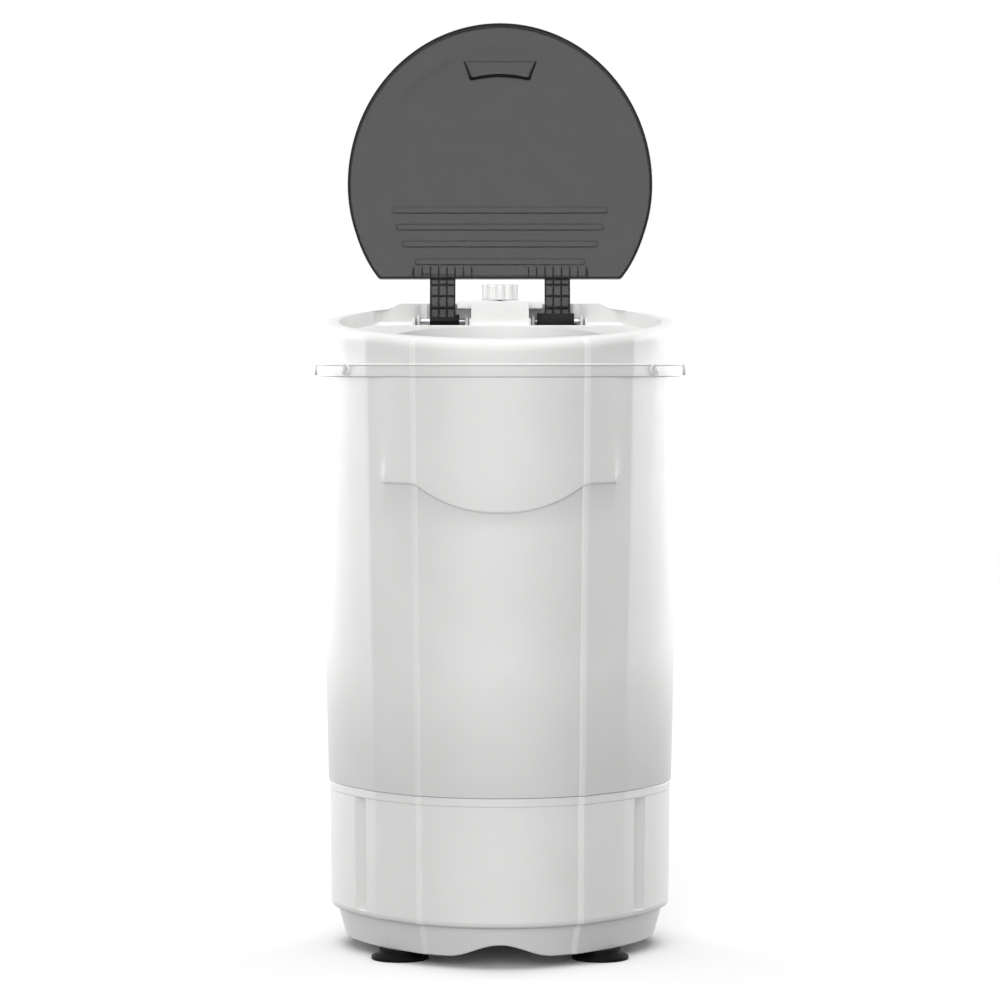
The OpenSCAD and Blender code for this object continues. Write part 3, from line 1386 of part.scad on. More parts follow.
base_shell();
rubber_feet();
foot_screws();
body_shell();
top_cover();
cover_screws();
lid();
lid_actuator();
hinge_pins();
hinge_bracket_left();
hinge_bracket_right();
bracket_screws();
lid_switch();
switch_plunger();
cable_yoke();
yoke_guide();
brake_cable();
cable_ferrule();
cable_wire();
timer_knob();
timer_shaft();
timer_body();
timer_nut();
collector_tub();
tub_screws();
tub_seal();
spin_basket();
basket_hub();
hub_nut();
hub_cap();
drive_shaft();
brake_drum();
rotor();
stator();
windings();
lower_bearing();
upper_bearing();
motor_lower_shell();
motor_upper_shell();
motor_plate();
motor_bolts();
motor_springs();
spring_bushes();
brake_lever();
brake_pad();
lever_pin();
drain_hose();
hose_clamps();
drain_spigot();
spigot_ring();
drain_well();
start_capacitor();
capacitor_strap();
terminal_block();
cord_gland();
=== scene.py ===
"""Laundry spin dryer with its smoked lid open: the looks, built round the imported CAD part.

Sizes are in millimetres and every helper that makes a mesh turns them into metres. The frame is
the part's own: the floor is z = 0, the basket's axis is x = y = 0 and the front is towards -Y.
"""

import json
import math

import bpy
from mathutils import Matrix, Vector


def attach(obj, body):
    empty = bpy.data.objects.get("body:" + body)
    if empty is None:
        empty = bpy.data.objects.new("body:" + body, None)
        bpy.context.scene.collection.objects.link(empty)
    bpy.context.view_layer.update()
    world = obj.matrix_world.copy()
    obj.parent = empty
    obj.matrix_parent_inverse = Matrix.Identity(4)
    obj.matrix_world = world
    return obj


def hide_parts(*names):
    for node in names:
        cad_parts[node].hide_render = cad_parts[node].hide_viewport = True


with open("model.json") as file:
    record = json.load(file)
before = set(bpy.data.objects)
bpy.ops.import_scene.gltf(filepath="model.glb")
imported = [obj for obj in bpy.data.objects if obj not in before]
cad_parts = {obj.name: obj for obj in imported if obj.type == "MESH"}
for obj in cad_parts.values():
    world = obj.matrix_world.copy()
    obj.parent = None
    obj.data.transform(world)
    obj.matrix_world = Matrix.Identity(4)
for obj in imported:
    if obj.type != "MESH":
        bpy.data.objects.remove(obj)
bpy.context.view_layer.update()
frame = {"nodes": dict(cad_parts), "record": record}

MM = 0.001

# ---- Sizes that the part's own pieces share ------------------------------------------

SEAM_W, SEAM_D = 349, 361          # outline at the seam between the base and the body
PANEL_HALF, PANEL_DROP = 80, 24    # bowed front panel: half its chord and the depth of its bow
BAND_IN, BAND_OUT = 78, 83.5       # narrow band between the panel and a facet
FACET_X, FACET_Y = 124, 117.5      # outer edge of a facet
SIDE_FULLNESS = 1.2                # how early the side turns in towards a facet
WALL = 3                           # thickness of the mouldings
FOOT_H, STEP_Z = 11, 41            # underside of the plinth, and the step over it
SEAM_Z, SKIRT_Z = 169, 579         # lower edges of the body and of the cover's skirt
RIM_Z, HUMP_Z = 635.5, 655         # rim level with the basket's axis, and the hump at the back
LEDGE_Z, CONSOLE_Z = 635, 657      # ledge behind the lid, and the top of the timer's console
RIM_ROUND, HUMP_ROUND = 12, 5      # rounding of the rim and of the hump
HUMP_Y, HUMP_FALL = 60, 16         # the hump lies behind this, and its ends fall by this
HUMP_HALF, HUMP_FADE = 132, 30     # half the hump's width, and the length of each falling end
BODY_FLARE_W, BODY_FLARE_D = 18, 8
BODY_LIP = 13                      # how far the body goes up inside the skirt
COVER_W, COVER_D = 371, 373
LEDGE_W, LEDGE_D = COVER_W - 24, COVER_D - 14
RECESS_FOOT = 0.8                  # rounding at the foot of the wall round the lid
BASE_W, BASE_D = 347, 359          # base at its band
BASE_LOW_W, BASE_LOW_D = 344, 356  # base below the band
PLINTH_W, PLINTH_D = 330, 342
PLINTH_LOW_W, PLINTH_LOW_D = 314, 326
FLOOR_Z, FLOOR_TOP = 36, 40        # the base's own floor
ARCH_H, ARCH_HALF = 12.4, 58       # arch in the front and back of the plinth
SLOT_PITCH, SLOT_W, SLOT_HALF = 12, 5, 70  # slots through the base's floor
GROOVE_Y, GROOVE_W, GROOVE_DEPTH = 91.5, 20, 2  # upright grooves in the sides of the base
GROOVE_SHARE = 0.84                # the groove's extent in Y, as a share of its width
GROOVE_HIGH_Z = 160
FOOT_X, FOOT_Y, FOOT_R, FOOT_TOP_R = 99.5, 99.5, 28.5, 21
FOOT_BORE_R, FOOT_SCREW_R = 7.8, 3.1
SPRING_CIRCLE, SPRING_SEAT_R = 92, 10.4
BIB_LOW_Z, BIB_HIGH_Z = 447, 474.7  # lowest point and straight ends of the bib's lower edge
BIB_PROUD, BIB_SIDE = 1.8, 109.7
HINGE_Y, HINGE_Z = 145, 636.5
DECK_SLOPE = 6.2                   # degrees by which the lid's seat falls to the front
SLOPE = math.tan(math.radians(DECK_SLOPE))
ARM_REACH, ARM_X, ARM_W = 45, 60.5, 27  # the reach is from the hinge axis to the lid's edge
HUB_R, PIN_R = 7, 2.56             # hub of an arm, and its bore
LID_R, LID_FRONT, LID_BACK = 161, 171.5, 100  # from its middle: side, front and straight edge
LID_SWELL = 1.9                    # the lid stands out by this beside its straight edge
SWELL_FROM, SWELL_OVER = 48, 50    # where the swell begins behind the middle, and its length
LID_WALL_H, LID_T, LID_GAP = 14, 2.2, 2
LID_BORDER, LID_STEP = 25, 2       # flat border, and the rise from it to the middle
LID_LEAN = 4.5                     # degrees by which the open lid leans back
LID_TOP = LID_WALL_H + 1           # outer face of the lid's middle over the hinge axis
LID_INNER = LID_TOP - LID_STEP - LID_T
CHORD_Y = HINGE_Y - ARM_REACH * math.cos(math.radians(DECK_SLOPE))
LEDGE_LINE = CHORD_Y + LID_GAP     # front edge of the ledge, clear of the closed lid
GRIP_HALF, GRIP_W, GRIP_DEPTH, GRIP_TOP = 36, 15, 10, 274.5
BAR_U = (74, 56, 38, 19)           # the lid's bars, measured from its straight edge
BAR_HALF, BAR_W = (114, 110, 103.5, 90), 7
MOUTH_R, MOUTH_Y, MOUTH_LOW_Z = 109, -16, 574.28  # opening over the basket, with its collar
POCKET_HALF, POCKET_BACK, POCKET_FLOOR_Z = 28.5, 158, 621
CONSOLE_HALF, CONSOLE_FRONT, CONSOLE_BACK = 45, CHORD_Y + 8, 166
CONSOLE_CUT = 4.2                  # cut across the console's front corners
KNOB_Y, KNOB_R, KNOB_H, KNOB_Z = 144.5, 21, 16.5, 658.5
KNOB_LOBES, KNOB_FLUTE = 10, 3.1   # lobes of the knob, and the depth of the flutes between them
BOSS_Y, BOSS_Z, BOSS_R, BOSS_OUT = 92, 586, 6, 3
BASKET_R, BASKET_Z, BASKET_TOP = 138, 238, 556
BASKET_T, BASKET_MOUTH_R, BASKET_BORE_R = 1.2, 120, 6.1
BASKET_BAND = 12                   # height without holes at the bottom; 2 more at the top
WELL_Y, WELL_Z, WELL_R = 156.5, 110, 24  # round recess that the drain comes out of
WELL_HOLE_R, WELL_FACE_Y = 10.2, 175.4
GLAND_X, GLAND_Y, GLAND_Z = -48, 164, 80
GLAND_SEAT_R, GLAND_HOLE_R, GLAND_FACE_Y = 12, 8.2, 170

# ---- Mesh helpers --------------------------------------------------------------------


def steps(start, end, count):
    """count + 1 values from start to end, evenly spaced."""
    return [start + (end - start) * k / count for k in range(count + 1)]


def smooth(t):
    """0 below 0, 1 above 1 and eased between."""
    t = min(max(t, 0), 1)
    return t * t * (3 - 2 * t)


def deselect():
    """Nothing is selected, so that a new primitive is the only thing an operator works on."""
    bpy.ops.object.select_all(action="DESELECT")


def only(obj):
    """obj becomes the one selected and active object."""
    deselect()
    obj.select_set(True)
    bpy.context.view_layer.objects.active = obj


def apply_modifier(obj, kind, **settings):
    """Adds a modifier with these settings and applies it."""
    only(obj)
    modifier = obj.modifiers.new(kind.lower(), kind)
    for key, value in settings.items():
        setattr(modifier, key, value)
    bpy.ops.object.modifier_apply(modifier=modifier.name)
    return obj


def rounded(obj, width, segments=2):
    """Edges sharper than 30 degrees get a radius of about width."""
    return apply_modifier(obj, "BEVEL", width=width * MM, segments=segments, limit_method="ANGLE",
                          angle_limit=math.radians(30))


def closed_up(obj, angle=35):
    """Doubles merged, open ends filled, faces outwards, smooth but for edges sharper than angle."""
    only(obj)
    bpy.ops.object.mode_set(mode="EDIT")
    bpy.ops.mesh.select_all(action="SELECT")
    bpy.ops.mesh.remove_doubles(threshold=1e-6)
    bpy.ops.mesh.select_all(action="DESELECT")
    bpy.ops.mesh.select_non_manifold()
    bpy.ops.mesh.fill_holes(sides=0)
    bpy.ops.mesh.select_all(action="SELECT")
    bpy.ops.mesh.normals_make_consistent(inside=False)
    bpy.ops.object.mode_set(mode="OBJECT")
    bpy.ops.object.shade_smooth_by_angle(angle=math.radians(angle))
    return obj


def loft(name, rings, angle=35):
    """A skin through rings of points, each as long as the others, with open ends filled."""
    columns, rows = len(rings[0]), len(rings) - 1
    deselect()
    bpy.ops.mesh.primitive_grid_add(x_subdivisions=columns, y_subdivisions=rows, size=1)
    obj = bpy.context.object
    obj.name = name
    places = [c * MM for ring in rings for p in (*ring, ring[0]) for c in p]
    obj.data.vertices.foreach_set("co", places)
    return closed_up(obj, angle)


def turned(name, profile, centre=(0, 0), sides=64):
    """A turned piece: a profile of (radius, height) carried round an upright axis at centre."""
    cx, cy = centre
    turns = [2 * math.pi * k / sides for k in range(sides)]
    rings = [[(cx + r * math.cos(a), cy + r * math.sin(a), z) for a in turns] for r, z in profile]
    return loft(name, rings)


def applied(obj):
    """Its place, turn and scale go into the mesh."""
    only(obj)
    bpy.ops.object.transform_apply(location=True, rotation=True, scale=True)
    return obj


def block(name, low, high, radius, segments=2):
    """A box between two corners with rounded edges."""
    deselect()
    middle = [(a + b) / 2 * MM for a, b in zip(low, high)]
    size = [(b - a) * MM for a, b in zip(low, high)]
    bpy.ops.mesh.primitive_cube_add(size=1, location=middle, scale=size)
    obj = applied(bpy.context.object)
    obj.name = name
    if radius:
        rounded(obj, radius, segments)
    return obj


def rod(name, start, end, r, sides=48, radius=0):
    """A round bar from start to end."""
    a, b = Vector(start) * MM, Vector(end) * MM
    deselect()
    bpy.ops.mesh.primitive_cylinder_add(vertices=sides, radius=r * MM, depth=(b - a).length,
                                        location=(a + b) / 2)
    obj = bpy.context.object
    obj.rotation_mode = "QUATERNION"
    obj.rotation_quaternion = (b - a).to_track_quat("Z", "Y")
    applied(obj).name = name
    if radius:
        rounded(obj, radius)
    return obj


def prism(name, outline, depth, radius=0):
    """A flat outline of points in space, extruded by the vector depth."""
    deselect()
    bpy.ops.mesh.primitive_circle_add(vertices=len(outline), fill_type="NGON")
    obj = bpy.context.object
    obj.name = name
    obj.data.vertices.foreach_set("co", [c * MM for p in outline for c in p])
    only(obj)
    bpy.ops.object.mode_set(mode="EDIT")
    bpy.ops.mesh.select_all(action="SELECT")
    bpy.ops.mesh.extrude_region_move(TRANSFORM_OT_translate={"value": [c * MM for c in depth]})
    bpy.ops.object.mode_set(mode="OBJECT")
    closed_up(obj)
    if radius:
        rounded(obj, radius)
    return obj


def joined(name, pieces):
    """Several pieces as one object."""
    deselect()
    for piece in pieces:
        piece.select_set(True)
    bpy.context.view_layer.objects.active = pieces[0]
    bpy.ops.object.join()
    pieces[0].name = name
    return pieces[0]


def carve(obj, tools, operation="DIFFERENCE", angle=35):
    """Cuts the tools out of obj, or adds them to it, and takes them away."""
    for tool in tools:
        apply_modifier(obj, "BOOLEAN", operation=operation, solver="EXACT", object=tool)
        bpy.data.objects.remove(tool)
    only(obj)
    bpy.ops.object.shade_smooth_by_angle(angle=math.radians(angle))
    return obj


def fitted(obj, body, slot, *nodes, angle=35):
    """obj gets its slot's finish and rides on body, in place of the CAD nodes named."""
    only(obj)
    bpy.ops.object.shade_smooth_by_angle(angle=math.radians(angle))
    if not obj.data.materials:
        obj.data.materials.append(FINISH[slot])
    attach(obj, body)
    if nodes:
        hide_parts(*nodes)
    return obj


# ---- Material helpers ----------------------------------------------------------------

NOISE_LOW, NOISE_HIGH = 0.3, 0.7   # nearly all values of a noise lie between these


def linear(colour):
    """An sRGB hex colour as the linear colour that a shader takes."""
    shares = [int(colour[k:k + 2], 16) / 255 for k in (1, 3, 5)]
    return [c / 12.92 if c <= 0.04045 else ((c + 0.055) / 1.055) ** 2.4 for c in shares] + [1]


def add_node(tree, kind, settings=(), links=()):
    """One node: settings name its own properties or its sockets, links give a socket its source."""
    node = tree.nodes.new(kind)
    for key, value in dict(settings).items():
        if hasattr(node, key):
            setattr(node, key, value)
        else:
            node.inputs[key].default_value = value
    for socket, source in dict(links).items():
        tree.links.new(source, node.inputs[socket])
    return node


def new_finish(name):
    """An empty material and its node tree."""
    material = bpy.data.materials.new(name)
    material.use_nodes = True
    material.node_tree.nodes.clear()
    return material, material.node_tree


def speckle(tree, size_mm, detail=2, stretch=(1, 1, 1)):
    """Noise whose grains are about size_mm across, stretched along an axis by a small number."""
    place = add_node(tree, "ShaderNodeTexCoord")
    turn = add_node(tree, "ShaderNodeMapping", {"Scale": stretch}, {"Vector": place.outputs["Object"]})
    return add_node(tree, "ShaderNodeTexNoise", {"Scale": 1 / (size_mm * MM), "Detail": detail},
                    {"Vector": turn.outputs["Vector"]}).outputs["Fac"]


def cloudy(tree, colours, tone):
    """A colour that wanders between two sRGB colours, in clouds as tone gives them to speckle."""
    ramp = add_node(tree, "ShaderNodeValToRGB", {}, {"Fac": speckle(tree, *tone)})
    for end, place, colour in zip(ramp.color_ramp.elements, (NOISE_LOW, NOISE_HIGH), colours):
        end.position = place
        end.color = linear(colour)
    return ramp.outputs["Color"]


def surface(tree, settings, links):
    """The shader and the output of a finish."""
    shader = add_node(tree, "ShaderNodeBsdfPrincipled", settings, links)
    add_node(tree, "ShaderNodeOutputMaterial", {}, {"Surface": shader.outputs["BSDF"]})


def finish(name, colours, roughness, settings, tone, gloss, grain, height_mm):
    """A material whose colour, roughness and relief each follow a noise: tone, gloss and grain."""
    material, tree = new_finish(name)
    low, high = roughness
    spread = add_node(tree, "ShaderNodeMapRange",
                      {"From Min": NOISE_LOW, "From Max": NOISE_HIGH, "To Min": low, "To Max": high},
                      {"Value": speckle(tree, *gloss)})
    relief = add_node(tree, "ShaderNodeBump", {"Strength": 1, "Distance": height_mm * MM},
                      {"Height": speckle(tree, *grain)})
    surface(tree, settings, {"Base Color": cloudy(tree, colours, tone),
                             "Roughness": spread.outputs["Result"],
                             "Normal": relief.outputs["Normal"]})
    return material


def moulded(name, dark, light, roughness, grain_mm, height_mm, sheen=0.5):
    """Injection-moulded plastic: the tool's spark-eroded grain, a faint cloudiness and uneven gloss."""
    return finish(name, (dark, light), (roughness - 0.04, roughness + 0.05),
                  {"Specular IOR Level": sheen}, tone=[70], gloss=[9], grain=[grain_mm, 3],
                  height_mm=height_mm)


def metal(name, dark, light, roughness, streak=(1, 1, 1), grain_mm=1.2, height_mm=0.01):
    """Bare metal with the marks of how it was made, drawn out along one axis where it was drawn."""
    marks = [grain_mm, 3, streak]
    return finish(name, (dark, light), (roughness - 0.08, roughness + 0.1), {"Metallic": 1},
                  tone=[14, 3, streak], gloss=marks, grain=marks, height_mm=height_mm)


def smoked(name, alpha, sheen, roughness=0.12):
    """Smoked styrene-acrylonitrile, tinted through, with the faint flow marks of the moulding."""
    return finish(name, ("#101011", "#151516"), (roughness - 0.03, roughness + 0.05),
                  {"Alpha": alpha, "Specular IOR Level": sheen}, tone=[60], gloss=[25], grain=[30, 1],
                  height_mm=0.01)


# A grain that is finer than half a millimetre on the real piece is drawn 0.6 to 1.2 mm across, so
# that it shows from near
FINISH = {
    # ABS moulded against a spark-eroded tool: a soft satin sheen and no reflections with edges
    "white_shell": moulded("white_abs_spark_eroded", "#e6e6e5", "#eaeae9", 0.42, 0.7, 0.02),
    # styrene-acrylonitrile tinted through: what lies behind shows as a dark grey
    "smoked_lid": smoked("smoked_san_moulded", 0.84, 0.3),
    # ABS from a polished tool: a brighter white than the body, with small soft highlights
    "white_knob": moulded("white_abs_polished", "#e9e9e8", "#ededec", 0.3, 1.2, 0.01),
    # glass-filled nylon: a dull black with a rough skin
    "black_plastic": moulded("black_nylon_moulded", "#0d0d0e", "#131314", 0.5, 0.6, 0.02, 0.15),
    # the same nylon in a pale grey: matt, and a little colder than the body
    "grey_plastic": moulded("grey_nylon_moulded", "#c4c4c6", "#cdcdcf", 0.45, 0.6, 0.02),
    # uncoloured polypropylene: slightly yellow and waxy
    "pale_plastic": moulded("natural_polypropylene_moulded", "#d6d5cd", "#dfded7", 0.38, 0.9, 0.02),
    # acetal: an even red with an oily gloss
    "red_plastic": moulded("red_acetal_moulded", "#a3231b", "#b12a20", 0.35, 0.9, 0.01),
    # carbon-filled rubber: almost no sheen and a bloom of lighter dust
    "black_rubber": moulded("black_rubber_moulded", "#0a0a0b", "#111112", 0.75, 0.8, 0.03, 0.1),
    # extruded rubber hose: a mid grey that takes a wide weak highlight
    "grey_rubber": moulded("grey_rubber_extruded", "#3c3d40", "#47484b", 0.66, 0.9, 0.03, 0.3),
    # zinc plate: a bluish metal with a satin shine
    "zinc_steel": metal("steel_zinc_plated", "#b9bcc2", "#c9ccd0", 0.34),
    # drawn stainless sheet: the brightest metal here, streaked upwards by the drawing
    "basket_steel": metal("stainless_sheet_deep_drawn", "#c6c8ca", "#d3d5d6", 0.26, (1, 1, 0.06)),
    # pressure-cast aluminium: a pale grey with a fine rough skin
    "cast_aluminium": metal("aluminium_pressure_cast", "#b4b6b8", "#c4c6c8", 0.48,
                            grain_mm=0.8, height_mm=0.04),
    # the same casting left as it came from the mould, a shade darker
    "motor_casting": metal("aluminium_cast_motor_end", "#a3a5a8", "#b3b5b8", 0.5,
                           grain_mm=0.8, height_mm=0.04),
    # turned grey iron: dark, with the rings of the tool
    "cast_iron": metal("grey_iron_turned", "#5d5e62", "#6c6d71", 0.45, (0.1, 0.1, 1)),
    # stacked sheets of silicon steel: dark, with a level line for every few sheets
    "motor_iron": metal("silicon_steel_laminations", "#55565a", "#626368", 0.5, (0.05, 0.05, 1), 0.7, 0.04),
    # enamelled copper wire: a warm brown shine in level turns
    "copper": metal("copper_wire_enamelled", "#b5673a", "#c77a48", 0.32, (0.3, 0.3, 1)),
    # stoved enamel over pressed steel: an even black gloss with orange peel
    "painted_plate": moulded("black_stoved_enamel", "#19191b", "#202022", 0.3, 2.5, 0.02),
    # woven friction lining: brown, coarse and without any shine
    "brake_lining": moulded("woven_brake_lining", "#3a2d24", "#4b3b30", 0.8, 1.0, 0.08),
}
# the lid's plastic where it is seen edge on, through all its depth: nearly black; the same finish is also
# painted shade on the faces of the lid's bars and grip cup that look down or sideways
DARK_SMOKED = smoked("smoked_san_thick_rib_and_painted_shade", 0.97, 0.08, 0.2)

# ---- Outline of the cabinet ----------------------------------------------------------

PANEL_R = (PANEL_HALF ** 2 + PANEL_DROP ** 2) / (2 * PANEL_DROP)


def side_x(t):
    """Half width of the side at share t of the way from its middle to a facet."""
    return SEAM_W / 2 - (SEAM_W / 2 - FACET_X) * (SIDE_FULLNESS * t ** 2 + (1 - SIDE_FULLNESS) * t ** 4)


def quarter_outline():
    """From the middle of the front to the middle of the right side: panel, band, facet and side."""
    centre_y = PANEL_R - SEAM_D / 2
    bow = steps(0, math.asin(BAND_IN / PANEL_R), 22)
    panel = [(PANEL_R * math.sin(a), centre_y - PANEL_R * math.cos(a)) for a in bow]
    edge_y = panel[-1][1]
    band = [(BAND_IN + 0.6, edge_y - 0.4), (BAND_OUT - 0.5, edge_y + 0.7), (BAND_OUT + 0.6, edge_y + 1.3)]
    start = Vector((BAND_OUT + 1.5, edge_y + 2.2))
    end = Vector((FACET_X, -FACET_Y))
    across = [0, 0.1, 0.25, 0.4, 0.55, (BIB_SIDE - 0.7 - start.x) / (end.x - start.x),
              (BIB_SIDE + 0.7 - start.x) / (end.x - start.x), 0.8, 0.92, 0.985]
    facet = [tuple(start.lerp(end, f)) for f in across]
    half = GROOVE_W / 2 * GROOVE_SHARE * SEAM_D / BASE_LOW_D
    middle = GROOVE_Y * SEAM_D / BASE_LOW_D
    groove = [middle + half + 0.25, middle + half - 0.25, middle + half / 3, middle - half / 3,
              middle - half + 0.25, middle - half - 0.25]
    before = [FACET_Y * 0.992, FACET_Y * 0.96, FACET_Y * 0.91]
    after = [FACET_Y * f for f in steps(0.6, 0, 10)]
    side = [(side_x(y / FACET_Y), -y) for y in before + groove + after]
    return panel + band + facet + side


def cabinet_outline():
    """The whole outline at the seam, from the middle of the front round by the right side."""
    quarter = quarter_outline()
    right = quarter + [(x, -y) for x, y in reversed(quarter[:-1])]
    return right + [(-x, y) for x, y in reversed(right[1:-1])]


OUTLINE = cabinet_outline()


def ring(width, depth, z):
    """The outline at another width and depth, at a height."""
    return [(x * width / SEAM_W, y * depth / SEAM_D, z) for x, y in OUTLINE]


# ---- Base ----------------------------------------------------------------------------


def arch(x):
    """How far the plinth's lower edge is lifted at x."""
    if abs(x) > ARCH_HALF:
        return 0
    return ARCH_H * (1 + math.cos(math.pi * x / ARCH_HALF)) / 2


def plinth_ring(inset, lift):
    """The plinth's lower edge, with the arch in its front and back."""
    points = []
    for x, y in OUTLINE:
        z = FOOT_H + lift + (arch(x) if abs(y) > FACET_Y else 0)
        share = (z - FOOT_H) / (STEP_Z - FOOT_H)
        width = PLINTH_LOW_W + (PLINTH_W - PLINTH_LOW_W) * share - 2 * inset
        depth = PLINTH_LOW_D + (PLINTH_D - PLINTH_LOW_D) * share - 2 * inset
        points.append((x * width / SEAM_W, y * depth / SEAM_D, z))
    return points


def plinth_top(inset, z):
    """A ring of the plinth's upper end, narrower by inset."""
    return ring(PLINTH_W - inset, PLINTH_D - inset, z)


def low_ring(inset, z):
    """A ring of the base below its band, narrower by inset."""
    return ring(BASE_LOW_W - inset, BASE_LOW_D - inset, z)


def band_ring(inset, z):
    """A ring of the base at its band, narrower by inset."""
    return ring(BASE_W - inset, BASE_D - inset, z)


def grooved(points):
    """A ring of the base with the four upright grooves drawn in, deepest at their outer edges."""
    half = GROOVE_W / 2 * GROOVE_SHARE
    out = []
    for (x, y, z), (_, seam_y) in zip(points, OUTLINE):
        across = (abs(seam_y) * BASE_LOW_D / SEAM_D - GROOVE_Y) / half
        if abs(across) < 1:
            pull = 1 - (GROOVE_DEPTH + 2.4 * across + 0.6) / math.hypot(x, y)
            x, y = x * pull, y * pull
        out.append((x, y, z))
    return out


def base_wall():
    """Base and plinth as one moulding with its own floor, open on top."""
    inside = 2 * WALL
    rings = [plinth_top(12, FLOOR_TOP), grooved(low_ring(12, FLOOR_TOP + 1)),
             grooved(low_ring(inside, STEP_Z + 12)), grooved(low_ring(inside, GROOVE_HIGH_Z + 3)),
             band_ring(inside + 1, GROOVE_HIGH_Z + 4), band_ring(inside + 1, SEAM_Z - 2),
             band_ring(inside, SEAM_Z - 0.4), band_ring(1, SEAM_Z - 0.4), band_ring(0.3, SEAM_Z - 0.6),
             band_ring(0, SEAM_Z - 1.2), band_ring(0, GROOVE_HIGH_Z + 1.2),
             band_ring(0.3, GROOVE_HIGH_Z + 0.6), band_ring(1, GROOVE_HIGH_Z + 0.2),
             band_ring(1, GROOVE_HIGH_Z - 0.3), grooved(band_ring(1, GROOVE_HIGH_Z - 0.8)),
             grooved(low_ring(0, STEP_Z + 12)), grooved(low_ring(0, STEP_Z + 6.4)),
             low_ring(0, STEP_Z + 6), low_ring(0.5, STEP_Z + 4.4), low_ring(1.5, STEP_Z + 2.5),
             low_ring(3.4, STEP_Z + 1.1), low_ring(6.4, STEP_Z + 0.3), plinth_top(-1, STEP_Z),
             plinth_top(0, STEP_Z - 0.8), plinth_ring(0, 0.9), plinth_ring(0.3, 0.25),
             plinth_ring(0.9, 0), plinth_ring(WALL - 0.4, 0), plinth_ring(WALL, 0.5),
             plinth_top(inside + 3, FLOOR_Z)]
    shell = loft("base_wall", rings, 12)
    slots = [block("slot", (SLOT_PITCH * k - SLOT_W / 2, -SLOT_HALF, FLOOR_Z - 2),
                   (SLOT_PITCH * k + SLOT_W / 2, SLOT_HALF, FLOOR_TOP + 2), 0)
             for k in steps(-2.5, 2.5, 5)]
    holes = [rod("hole", (0, WELL_Y, WELL_Z), (0, SEAM_D, WELL_Z), WELL_R, 96),
             rod("hole", (GLAND_X, GLAND_Y, GLAND_Z), (GLAND_X, SEAM_D, GLAND_Z), GLAND_SEAT_R, 64)]
    return carve(shell, slots + holes, angle=12)


def wall_cup(name, x, y, z, r, hole_r, face_y):
    """A round recess behind a hole in the rear wall, with a hole for what comes through its end."""
    profile = [(hole_r, 0), (r - 1.5, 0), (r, 1.5), (r, face_y - y), (r + WALL, face_y - y),
               (r + WALL, 0), (r + WALL - 2, -WALL), (hole_r, -WALL), (hole_r, 0)]
    cup = turned(name, profile)
    for vertex in cup.data.vertices:
        a, b, c = vertex.co
        vertex.co = (a + x * MM, c + y * MM, z * MM - b)
    return closed_up(cup)


def base_inside():
    """Posts for the feet, seats for the springs and the lip that holds the body shell."""
    post = [(0, FOOT_H + 0.1), (FOOT_TOP_R - 1, FOOT_H + 0.1), (FOOT_TOP_R, FOOT_H + 1),
            (FOOT_TOP_R, FLOOR_Z + 1), (0, FLOOR_Z + 1)]
    posts = joined("posts", [turned("post", post, (sx * FOOT_X, sy * FOOT_Y))
                             for sx in (-1, 1) for sy in (-1, 1)])
    carve(posts, [loft("plinth_inside", [plinth_ring(1, 0.1), plinth_top(2, STEP_Z)])], "INTERSECT")
    seat = [(0, FLOOR_TOP - 1), (SPRING_SEAT_R, FLOOR_TOP - 1), (SPRING_SEAT_R, FLOOR_TOP + 3.4),
            (SPRING_SEAT_R - 0.8, FLOOR_TOP + 4), (0, FLOOR_TOP + 4)]
    seats = [turned("seat", seat, (SPRING_CIRCLE * math.cos(a), SPRING_CIRCLE * math.sin(a)))
             for a in (math.radians(degrees) for degrees in (90, 210, 330))]
    play = 2 * (WALL + 0.4)
    levels = [(0, SEAM_Z - 0.4), (0, SEAM_Z + 11), (1, SEAM_Z + 12), (5, SEAM_Z + 12), (5, SEAM_Z - 6)]
    foot_of_lip = band_ring(7, SEAM_Z - 8)
    lip = loft("lip", [foot_of_lip, *(ring(SEAM_W - play - inset, SEAM_D - play - inset, z)
                                      for inset, z in levels), foot_of_lip])
    return joined("base_inner_ribs", [posts, *seats, lip])


def foot(name, x, y):
    """A moulded rubber foot with a spread sole and a rib round it."""
    profile = [(FOOT_BORE_R, 0.1), (FOOT_R - 6, 0.1), (FOOT_R - 5.4, 0.5), (FOOT_R - 4.6, 0.5),
               (FOOT_R - 4, 0), (FOOT_R - 1.2, 0), (FOOT_R - 0.3, 0.3), (FOOT_R, 1.1), (FOOT_R, 3),
               (FOOT_R - 0.6, 3.8), (FOOT_R - 4, 5.2), (FOOT_TOP_R + 0.8, 6.8), (FOOT_TOP_R, 8),
               (FOOT_TOP_R, FOOT_H - 0.1), (FOOT_SCREW_R, FOOT_H - 0.1), (FOOT_SCREW_R, 4),
               (FOOT_BORE_R, 4), (FOOT_BORE_R, 0.1)]
    return turned(name, profile, (x, y))


# ---- Body shell ----------------------------------------------------------------------


def bib_edge(x, y):
    """Height of the bib's lower edge at a point of the outline at the seam."""
    if y > 0 or abs(x) > BAND_OUT:
        return BIB_HIGH_Z
    return min(BIB_HIGH_Z, BIB_LOW_Z + (BIB_HIGH_Z - 2 - BIB_LOW_Z) * (abs(x) / BAND_IN) ** 2.3)


def bib_share(x, y, z):
    """How far the bib stands proud, from 0 to 1: its side edges fade out upwards."""
    if y > 0:
        return 0
    crisp, more = 0.7, 12
    soft = crisp + more * smooth((z - BIB_HIGH_Z - 6) / 40)
    return smooth((BIB_SIDE + soft - abs(x)) / (2 * soft))


def body_point(x, y, z, proud):
    """A point of the flared body, moved outwards by proud."""
    share = (z - SEAM_Z) / (SKIRT_Z - SEAM_Z)
    return (x * (SEAM_W + BODY_FLARE_W * share + 2 * proud) / SEAM_W,
            y * (SEAM_D + BODY_FLARE_D * share + 2 * proud) / SEAM_D, z)


